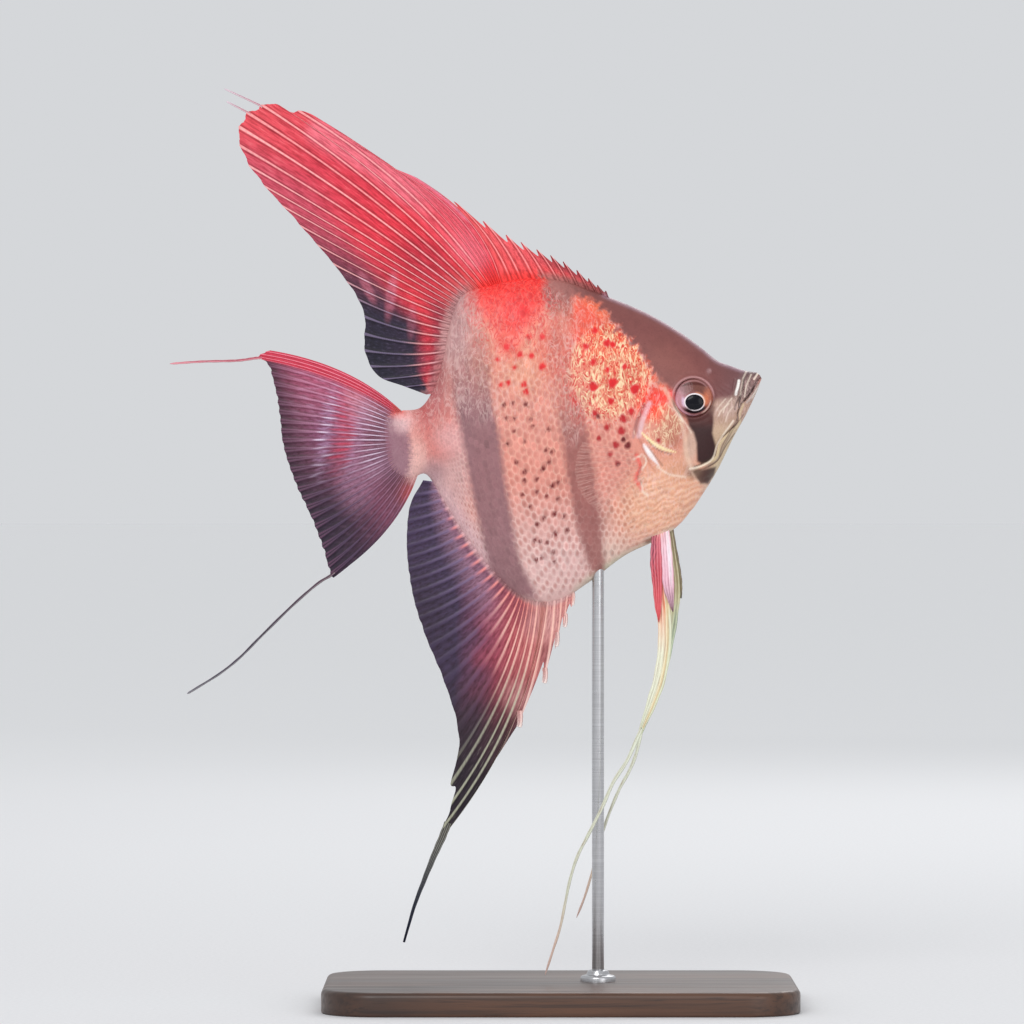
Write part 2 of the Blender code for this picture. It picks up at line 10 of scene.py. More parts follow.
import bpy
import numpy as np
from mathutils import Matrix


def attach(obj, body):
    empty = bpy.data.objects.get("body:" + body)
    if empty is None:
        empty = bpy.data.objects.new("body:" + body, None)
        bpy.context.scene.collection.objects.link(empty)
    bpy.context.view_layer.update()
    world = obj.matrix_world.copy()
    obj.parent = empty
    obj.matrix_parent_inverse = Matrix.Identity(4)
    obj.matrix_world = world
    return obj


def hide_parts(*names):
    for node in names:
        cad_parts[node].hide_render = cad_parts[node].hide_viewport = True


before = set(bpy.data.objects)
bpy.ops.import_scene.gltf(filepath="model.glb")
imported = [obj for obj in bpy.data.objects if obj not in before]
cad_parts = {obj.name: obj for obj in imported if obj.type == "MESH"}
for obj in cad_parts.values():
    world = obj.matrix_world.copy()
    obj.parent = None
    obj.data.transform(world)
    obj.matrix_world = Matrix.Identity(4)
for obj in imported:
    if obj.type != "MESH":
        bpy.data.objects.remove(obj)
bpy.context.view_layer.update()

MM = 0.001

# ---------------------------------------------------------------- the body's loft
# Each station is a slanting slice: x and z of its point on the back, x and z of its point on the
# belly, and half the body's width there.
BODY_STATIONS = np.array((
    (49, 158.2, 50.4, 156.6, 1.4),  # lips
    (46.2, 158.6, 49.3, 153.6, 2.4),
    (43.2, 159.6, 46.5, 147.6, 3.4),
    (39.2, 161.2, 43.3, 141.8, 4.6),
    (35.2, 164.4, 39.6, 134.2, 5.9),  # front of the eye
    (29.2, 168.7, 35.6, 127.6, 7.1),
    (21.2, 173.2, 30.3, 120.3, 8),  # gill cover
    (11.2, 177.4, 24.2, 116, 8.4),  # first dorsal spine, pelvic fins
    (1.2, 181.2, 16.2, 112.1, 8.3),
    (-8.8, 182, 7.5, 105.6, 7.8),
    (-18, 180.2, -1, 100.6, 7),  # keel above the anal spines
    (-24.6, 177.8, -9.5, 101.6, 6),
    (-27.6, 170.6, -17.5, 109, 5),
    (-29.3, 161.7, -24, 117.4, 4.2),
    (-31.6, 154.4, -29.2, 126, 3.5),
    (-34.8, 149.7, -33.4, 132.4, 3),  # tail stalk
    (-39.2, 148.9, -37.2, 131.2, 2.1),
    (-41.8, 148.8, -40.2, 131.8, 1.1),
    (-44.8, 148, -43.6, 133.4, 0.28),  # thin end of the sheath over the tail fin's root
))
LAST_STATION = len(BODY_STATIONS) - 1.0
WIDEST_LEVEL = 0.52
SLICE_POWER = 2.2
SLICE_ROUNDNESS = 0.6
COAT_DEPTH = 0.26  # how deep the skin lies under the scales' tops
EYE = (33.1, 151.7)  # x and z of the socket's middle
EYE_RADIUS = 4.85
RIPPLE_WAVES, RIPPLE_PEAK = 7, 4.2


def smooth(low, high, value):
    """0 below `low`, 1 above `high` and an S-shaped rise between them; also falls if high < low."""
    t = np.clip((np.asarray(value, float) - low) / (high - low), 0, 1)
    return t * t * (3 - 2 * t)


def through(values, at):
    """The smooth (Catmull-Rom) curve through rows of values, read at row numbers `at`."""
    values = np.asarray(values, float)
    at = np.clip(np.asarray(at, float), 0.0, len(values) - 1.0)
    low = np.minimum(at.astype(int), len(values) - 2)
    t = (at - low)[..., None]
    padded = np.vstack([2 * values[0] - values[1], values, 2 * values[-1] - values[-2]])
    a, b, c, d = (padded[low + k] for k in range(4))
    return 0.5 * (2 * b + (c - a) * t + (2 * a - 5 * b + 4 * c - d) * t**2 + (3 * b - a - 3 * c + d) * t**3)


def curve_of(route, steps=6):
    """A route of few points, filled in smoothly to `steps` pieces for each of its legs."""
    route = np.asarray(route, float)
    return through(route, np.linspace(0, len(route) - 1, (len(route) - 1) * steps + 1))


def run_of(line):
    """Distance walked from a line's first point to each of its points."""
    return np.concatenate([[0], np.cumsum(np.linalg.norm(np.diff(line, axis=0), axis=1))])


def unit(vectors):
    """Rows of vectors, each divided by its own length."""
    return vectors / np.linalg.norm(vectors, axis=1)[:, None]


def full_turn(count):
    """Angles of `count` even steps round a circle."""
    return 2 * np.pi * np.arange(count) / count


def near_route(x, z, route):
    """Distance from each point to a route of straight legs, the side it lies on (+1 on the left
    hand of someone walking it) and how far along the nearest place is, counted in legs."""
    x, z = np.asarray(x, float), np.asarray(z, float)
    nearest = np.full(x.shape, 1e9)
    side = np.ones(x.shape)
    place = np.zeros(x.shape)
    for leg, (a, b) in enumerate(zip(route[:-1, :2], route[1:, :2])):
        length = math.hypot(*(b - a)) + 1e-9
        dx, dz = (b - a) / length
        t = np.clip((x - a[0]) * dx + (z - a[1]) * dz, 0, length)
        off_x, off_z = x - a[0] - dx * t, z - a[1] - dz * t
        distance = np.hypot(off_x, off_z)
        closer = distance < nearest
        nearest = np.where(closer, distance, nearest)
        side = np.where(closer, np.sign(dx * off_z - dz * off_x), side)
        place = np.where(closer, leg + t / length, place)
    return nearest, side, place


def near_share(x, z, route, width):
    """1 on a route, falling to 0 at `width` from it."""
    return smooth(width, width * 0.25, near_route(x, z, np.asarray(route, float))[0])


def band(x, z, rows, soft):
    """1 within a band down rows of x, z and half width, falling to 0 over `soft` beyond it."""
    return band_of(x, z, curve_of(rows), soft)


def band_of(x, z, route, soft):
    """1 within a finished route's own half width, falling to 0 over `soft` beyond it."""
    distance, _, place = near_route(x, z, route)
    half = np.interp(place, np.arange(len(route)), route[:, 2])
    return smooth(half + soft, half - soft, distance)


def patch(x, z, middle, radii, tilt=0.0, soft=0.5):
    """1 inside an oval patch, falling to 0 at its rim over the share `soft` of its radius."""
    turn = math.radians(tilt)
    dx, dz = x - middle[0], z - middle[1]
    a = (dx * math.cos(turn) + dz * math.sin(turn)) / radii[0]
    b = (dz * math.cos(turn) - dx * math.sin(turn)) / radii[1]
    return smooth(1 + soft, 1 - soft, np.hypot(a, b))


def inside(x, z, outline, soft):
    """1 inside a closed outline, changing to 0 over `soft` to each side of its edge."""
    ring = np.asarray([*outline, outline[0]], float)
    distance = near_route(x, z, ring)[0]
    within = np.zeros(np.shape(x), bool)
    for (ax, az), (bx, bz) in zip(ring[:-1], ring[1:]):
        within ^= ((az > z) != (bz > z)) & (x < (bx - ax) * (z - az) / (bz - az + 1e-12) + ax)
    return smooth(-soft, soft, np.where(within, distance, -distance))


def ripple(x, z, seed, size):
    """A smooth uneven field between -1 and 1, the sum of a few slanting sine waves."""
    draw = np.random.default_rng(seed)
    total = np.zeros(np.shape(x))
    for _ in range(RIPPLE_WAVES):
        turn, phase = draw.uniform(0, 2 * math.pi, 2)
        pitch = size * draw.uniform(0.7, 1.5)
        total = total + np.sin((x * math.cos(turn) + z * math.sin(turn)) * 2 * math.pi / pitch + phase)
    return total / RIPPLE_PEAK


# ---------------------------------------------------------------- relief of the head
MOUTH = curve_of(((50.9, 157.2), (49.4, 156.2), (47.9, 153.6), (46.6, 151.7), (45.4, 150.6)))
LIP_UPPER = curve_of(((49.9, 158.5), (48.6, 156.8), (47.2, 154.3), (46.2, 152.4)))
LIP_LOWER = curve_of(((50.9, 156.6), (49.6, 154.6), (48.2, 152.4), (46.6, 150.6)))
MAXILLA = curve_of(((44.6, 156.0), (44.3, 154.4), (43.8, 152.6), (44.0, 150.9)))
MAXILLA_FRONT = curve_of(((46.0, 156.9), (45.5, 154.3), (44.9, 151.6), (44.6, 149.4)))
JAW_FOLD = curve_of((
    (45.2, 150.4), (44.3, 147.9), (44.2, 145.6), (41.6, 143), (39.4, 140.6), (38.4, 137.2),
    (35.6, 135.4), (33.2, 134.4),
))
JAW_FOLD_LOW = curve_of(((43.6, 142.9), (41.4, 139.8), (39.4, 136.2), (37.0, 134.6), (33.4, 133.2)))
CHEEK_EDGE = curve_of((
    (26, 153.8), (28.2, 149.8), (29.8, 146.6), (30.9, 142.2), (31.4, 137.6), (33.6, 132.4), (36.6, 129.6),
))
GILL_EDGE = curve_of((
    (24.2, 156.4), (22.3, 152.4), (20.2, 148.2), (19, 143.8), (20.3, 139.4), (22.2, 135.2), (24, 132.4),
))
GILL_SLIT = curve_of(((21.2, 150.0), (19.6, 146.2), (18.6, 142.0)))
# The streaks carry a third number, half their width there.
YELLOW_STREAK = curve_of(((20.2, 143.0, 0.12), (22.6, 140.7, 0.42), (25.6, 139.0, 0.40), (28.9, 138.1, 0.08)))
WHITE_STREAK = curve_of(((20.8, 139.8, 0.35), (22.3, 137.6, 0.62), (24.6, 134.7, 0.10)))
# Fine lines of the lips, the jaw and the cheek, the dark ones painted shade in creases and the pale ones
# painted highlights on folds: a route, its half width, how dark (-) or pale (+).
HEAD_LINES = (
    (((48.9, 158.2), (47.6, 156.2), (47, 153.6)), 0.20, -0.7),
    (((48.1, 158.4), (46.8, 155.8), (46.2, 153)), 0.18, -0.8),
    (((47.2, 158.2), (46, 155.6), (45.6, 152.6)), 0.20, -0.6),
    (((49.6, 158.2), (48.4, 156.4)), 0.22, 0.8), (((50.6, 156.2), (49.2, 154), (48, 151.8)), 0.24, 0.7),
    (((47.7, 157.6), (46.5, 154.8), (46, 152)), 0.16, 0.6),
    (((46.5, 158.4), (45.5, 156), (44.9, 152.2)), 0.22, 0.5),
    (((45, 152.2), (43.9, 150.4), (43.6, 148.8)), 0.22, -0.7),
    (((45.8, 147.6), (43.4, 144.2), (41.2, 140.2), (39.9, 137.2)), 0.15, -0.5),
    (((44.2, 146.6), (41.9, 142.4), (40.3, 139.4), (39.4, 136.4), (37, 134.6)), 0.15, -0.6),
    (((43.2, 146), (40.9, 142.8), (39.2, 140.2), (38, 136.6), (35.2, 134.7), (32.2, 134)), 0.22, 0.8),
    (((42, 150.2), (40.2, 148.6), (39.4, 147.2)), 0.18, 0.5),
    (((42.8, 151.6), (41.2, 149.6), (40.6, 148)), 0.16, 0.5),
    (((41.2, 151.4), (39.8, 149.8), (39, 148.6)), 0.16, 0.4),
    (((43, 149.4), (41.8, 147.8), (41.2, 145.8)), 0.16, 0.4),
    (((28.8, 149.4), (29.6, 147.6), (30.4, 145.8)), 0.22, 0.7),
    (((28.2, 149), (30.4, 146.4), (32.6, 143)), 0.20, 0.5),
    (((21.6, 141.2), (24.4, 138.7), (27.6, 137.6)), 0.15, -0.6),
    (((21.8, 139.6), (23.4, 137.4), (25.4, 134.9)), 0.15, -0.5),
    (((24, 134.6), (27.2, 132.6), (31.2, 132)), 0.22, 0.6),
    (((18.2, 136.4), (20.6, 137.4), (21.4, 135.6), (20.2, 133.8)), 0.22, 0.7),
    (((20, 130.6), (20.6, 128.4), (21.8, 127.4)), 0.30, 0.7),
    (((20.2, 134.6), (19.4, 132.2), (20.6, 129.8)), 0.16, -0.5),
)
FIN_SOCKET = curve_of(((18.9, 137.4), (19.9, 134.4), (18.8, 131.6), (20.4, 128.9)))
LATERAL_LINE = curve_of((
    (22, 161), (14, 166.6), (4, 169.8), (-6, 169.2), (-14, 165.4), (-20.6, 158.4),
    (-24.8, 150), (-30, 144), (-37, 141.2),
))
BLADE_CREASE = curve_of(((43.6, 156.9), (43.2, 154.0), (43.4, 151.0)))
# Routes cut into the head, or raised where the depth is negative: route, width, depth.
GROOVES = (
    (LIP_UPPER, 0.75, -0.42), (LIP_LOWER, 0.6, -0.34), (MOUTH, 0.30, 0.8),
    (MAXILLA, 0.55, -0.35), (MAXILLA_FRONT, 0.32, 0.45), (BLADE_CREASE, 0.28, 0.22),
    (JAW_FOLD, 0.28, 0.50), (JAW_FOLD_LOW, 0.30, 0.42), (CHEEK_EDGE, 0.30, 0.20),
    (GILL_EDGE, 0.34, 0.42), (GILL_SLIT, 0.5, 0.55), (YELLOW_STREAK, 0.45, -0.20),
    (WHITE_STREAK, 0.5, -0.22), (FIN_SOCKET, 0.75, -0.30), (LATERAL_LINE, 0.35, 0.12),
)
# Fine ridges: a patch's middle, radii and tilt; their height, slant in x and z, pitch and waver.
RIDGES = (
    ((47.4, 154.4), (3.6, 5.4), -28, 0.35, 0.07, 0.86, -0.5, 9, 1.8, (0, 1.3)),
    ((40.6, 150), (3.4, 5), -20, 0.4, 0.05, 0.5, 0.86, 5.5, 1.2, (1.1, 0)),
    ((27, 124.5), (12, 7), 32, 0.3, 0.07, -0.36, 0.93, 3.6, 1.1, (0.9, 0)),
)
NOSTRIL = (37.1, 158.4)
SCALED_EDGE = curve_of((
    (6, 188), (8, 180), (11, 174.6), (16, 168), (20.6, 161), (22.4, 155), (20.4, 149.4),
    (18.4, 144.4), (19, 139.4), (22.4, 133.2), (27.4, 128.4), (33, 124), (44, 121),
))


def along_ends(place, route, fade):
    """0 at both ends of a route and 1 between them, the change taking `fade` of its length."""
    share = place / (len(route) - 1.0)
    return smooth(-0.02, fade, share) * smooth(1.02, 1 - fade, share)


def bell(distance, width):
    """1 at distance 0, falling to both sides as e to the minus square of distance over width."""
    return np.exp(-((distance / width) ** 2))


def groove(x, z, route, width, depth):
    """A cut of bell-shaped section along a route, shallower towards both of its ends."""
    distance, _, place = near_route(x, z, route)
    return -depth * bell(distance, width) * along_ends(place, route, 0.14)


def step_at(x, z, route, height, width):
    """Raised by `height` on the left hand of a route, dying away over `width` from its edge."""
    distance, side, place = near_route(x, z, route)
    rise = height * np.where(side > 0, np.exp(-distance / width), 0.0) * smooth(0, 0.25, distance)
    return rise * along_ends(place, route, 0.16)


def relief(x, z):
    """How far the skin stands out (+) or lies in (-) sideways from the body's loft: the sum of
    all grooves, of the ridges (a wavering sine within a patch) and of the edges named below."""
    rise = sum(groove(x, z, *cut) for cut in GROOVES)
    for middle, radii, tilt, soft, height, a, b, pitch, waver, (c, d) in RIDGES:
        wave = np.sin((x * a + z * b) * pitch + waver * np.sin(x * c + z * d))
        rise += patch(x, z, middle, radii, tilt, soft) * height * wave
    # The edges of the folds under the jaw, of the cheek and of the gill cover.
    rise += step_at(x, z, JAW_FOLD, 0.22, 1.6) + step_at(x, z, GILL_EDGE, 0.42, 4.0)
    rise += 0.16 * smooth(0.9, 0.2, np.abs(near_route(x, z, CHEEK_EDGE)[0] - 0.5))
    # Nostril: a pit in a low ring.
    from_nostril = np.hypot(x - NOSTRIL[0], z - NOSTRIL[1])
    rise += 0.16 * bell(from_nostril - 0.75, 0.3) - 0.2 * bell(from_nostril, 0.34)
    # The socket: two low rings round the eye, then a drop behind the eyeball.
    past_rim = np.hypot(x - EYE[0], z - EYE[1]) - EYE_RADIUS
    rise += 0.42 * bell(past_rim - 0.35, 0.42) + 0.05 * bell(past_rim - 1.9, 0.5)
    rise -= 3.0 * smooth(0.1, -0.7, past_rim)
    # The forehead's faint unevenness.
    return rise + 0.045 * ripple(x, z, 3, 7.0) * smooth(14, 24, x)


def coat_share(x, z):
    """1 where scales cover the skin, 0 on the bare head, from the gill cover's edge aft."""
    distance, side, _ = near_route(x, z, SCALED_EDGE)
    return smooth(-0.8, 1.2, distance * -side)


def body_point(u, level, side, out=0.0, carved=True):
    """A point of the body. `u` counts stations, `level` runs from the belly's edge (0) to the
    back's (1), `side` is -1 for the right flank and `out` moves the point off the surface.

    The slice's half width is its widest times (1 - r^2.2)^0.6, where r is the distance from the
    widest level as a share of the way to the edge; the relief is added to that.
    """
    row = through(BODY_STATIONS, u)
    back, belly, width = row[..., :2], row[..., 2:4], row[..., 4]
    up = back - belly
    height = np.linalg.norm(up, axis=-1)
    above = (level - WIDEST_LEVEL) / (1 - WIDEST_LEVEL)
    below = 1 - level / WIDEST_LEVEL
    reach = np.where(level > WIDEST_LEVEL, above, below)
    bulge = np.clip(1 - reach**SLICE_POWER, 0, 1) ** SLICE_ROUNDNESS
    stretch = (level - 0.5) * 2 * out / height
    flat = belly + up * (level + stretch)[..., None]
    x, z = flat[..., 0], flat[..., 1]
    y = (width + out) * bulge
    if carved:
        y = y + relief(x, z) * smooth(0.0, 0.5, bulge)
    return np.stack([x, side * np.maximum(y, 0.0), z], axis=-1)


# ---------------------------------------------------------------- colours of the flesh
def tint(*rgb):
    """A colour given as 0 to 255 display values, as the linear light that shaders mix."""
    share = np.array(rgb, float) / 255
    return np.where(share <= 0.04045, share / 12.92, ((share + 0.055) / 1.055) ** 2.4)


def over(ground, colour, share):
    """The ground moved towards a colour by a share between 0 and 1."""
    return ground + (colour - ground) * np.asarray(share)[..., None]


def layers(ground, rows, *at):
    """The ground with colours laid over it in turn. A row is a display colour, or a ready one, and
    its share; or a display colour and an oval patch: middle, radii, tilt, softness and share."""
    for row in rows:
        share = row[-1]
        if len(row) == 10:
            share = share * patch(*at, row[3:5], row[5:7], row[7], row[8])
        ground = over(ground, row[0] if len(row) == 2 else tint(*row[:3]), share)
    return ground


NAPE_EDGE = curve_of((
    (-5, 182.6), (-2.6, 180), (0.6, 177.4), (7, 176.4), (11, 173.4), (15.2, 168), (19.6, 163.4),
    (22.6, 158.8), (25.6, 155.4), (28.4, 153.2), (31.5, 151.4), (35, 150.4), (38.8, 150.9), (41.6, 151.3),
    (43.2, 152.1), (44.3, 153.9), (45.6, 156), (47.6, 156.9), (49.8, 157.2), (52.4, 158.6),
))
EYE_BAR = (
    (30.8, 148.8), (31.4, 147), (32, 144.6), (33.2, 142.9), (33.9, 140.4), (34, 137.9), (34.1, 135.8),
    (35.2, 135.2),
    (36.7, 135.6), (38.8, 137.2), (38.8, 139.8), (37.9, 142.9), (38.2, 145.2), (38.2, 147.4), (38.8, 149.4),
    (36, 150.4),
)
CHIN_BAR = (
    (32.7, 133.6), (35, 133.8), (37.1, 134.2), (38.9, 134.5), (38.6, 132.5), (37, 130.3), (35, 130.2),
    (33.9, 131.7),
)
MID_BAR = (
    (-0.8, 178, 3.8), (0, 172, 3.2), (0.4, 161.2, 2.7), (2, 151.2, 3), (3.8, 141.2, 3.3),
    (5.4, 131.2, 3.4), (6.9, 121.2, 3.1), (8.9, 111.2, 2.2), (9.8, 107.5, 1.2),
)
REAR_BAR = (
    (-23.8, 177, 3.6), (-22.8, 163.8, 4.6), (-21.6, 151.2, 4.6), (-19.6, 141.2, 4.6), (-18.1, 131.2, 4.4),
    (-16.2, 121.2, 4.2), (-14, 111.2, 3.9), (-10.2, 103, 3.7), (-7.8, 99.5, 3.4),
)
LILAC_BELT = ((-32.5, 131, 2), (-27.5, 123, 3), (-21.5, 114, 3.2), (-15.5, 106, 3))
# Spots: x, z, radius. Red ones on the shoulder and upper flank, dark brown ones lower down.
RED_SPOTS = (
    (-9.3, 173.2, 1.2), (-7.8, 166.9, 0.8), (-4.5, 166.9, 0.8), (-13.4, 164.4, 0.9), (-10, 162.4, 0.8),
    (-7.2, 162.2, 0.8), (-15.6, 161.2, 0.6), (-11.4, 159.2, 0.6), (-4.5, 159.4, 0.9), (-12.9, 155.4, 0.7),
    (-14.8, 154.9, 0.6), (-9, 155, 0.8), (-8.5, 153.2, 0.8), (8.6, 168.4, 0.8), (6.4, 164.4, 0.8),
    (11.6, 165.3, 0.9), (13.1, 164.9, 0.8), (8.2, 160.6, 0.8), (11.7, 158.6, 0.7), (16, 159.4, 0.7),
    (8.2, 154.4, 1.15), (13, 155.4, 1.2), (18.5, 153.8, 1.2), (12.6, 150.8, 0.9), (8.6, 147.8, 0.8),
    (17.6, 148.2, 0.9), (15.6, 146.4, 1), (15.2, 143.4, 1), (11.6, 144.3, 0.8), (9.6, 141.6, 0.7),
    (13.8, 139.9, 0.9), (12.4, 137.6, 0.7), (14.2, 135.4, 0.7), (24.4, 141, 0.6),
)
DARK_SPOTS = (
    (-14, 150, 0.6), (-11.8, 150.4, 0.5), (-8.6, 150, 0.6), (-11.5, 143.3, 0.5), (-13.4, 146.6, 0.5),
    (-7.2, 146.3, 0.5), (-2.8, 143.8, 0.6), (-8.8, 140.8, 0.5), (-3.6, 138.6, 0.5), (-2.2, 138.2, 0.5),
    (-2.8, 135.6, 0.6), (-4.3, 134, 0.7), (-11, 135.6, 0.6), (-8.8, 133.2, 0.7), (-8.8, 131.2, 0.6),
    (-5.8, 131.4, 0.6), (-0.6, 130.6, 0.6), (-2, 129.8, 0.7), (-5.8, 128.2, 0.6), (-3.4, 127.2, 0.6),
    (-0.6, 126.6, 0.5), (-1.4, 122.8, 0.7), (-4, 121.7, 0.6), (0.8, 122.2, 0.6), (-5.8, 120.2, 0.6),
    (1.8, 118.8, 0.6), (-1.2, 117.8, 0.7), (-6.4, 116.2, 0.6), (-5, 115.9, 0.6), (-3.2, 115.6, 0.6),
    (-1.8, 113.2, 0.6), (-4.6, 111.8, 0.5), (-6, 111.2, 0.6), (-1.4, 110.8, 0.5), (16.8, 139.8, 0.9),
    (17, 139.6, 0.5), (14.4, 135.2, 0.6), (9.4, 147, 0.6), (15.7, 141.3, 0.7),
    (-6.8, 144.6, 0.5), (-11.4, 146.4, 0.5), (-13.2, 140.2, 0.5), (-7.6, 124.6, 0.5), (-9.4, 127.6, 0.5),
)


def spots_at(x, z, table, side, size=1.0):
    """The share of each point that the spots cover. The left flank's spots are moved a little."""
    found = np.zeros(np.shape(x))
    draw = np.random.default_rng(11)
    for middle_x, middle_z, radius in table:
        shift_x, shift_z = draw.normal(0, 1.1, 2)
        lean = draw.uniform(-0.16, 0.16)
        away_x = x - middle_x - np.where(side > 0, shift_x, 0)
        away_z = z - middle_z - np.where(side > 0, shift_z, 0)
        wobble = 1 + 0.08 * np.sin(3 * np.arctan2(away_z, away_x) + middle_x)
        distance = np.hypot(away_x + lean * away_z, away_z * 0.9) / wobble
        found = np.maximum(found, smooth(radius * size + 0.22, radius * size - 0.32, distance))
    return found


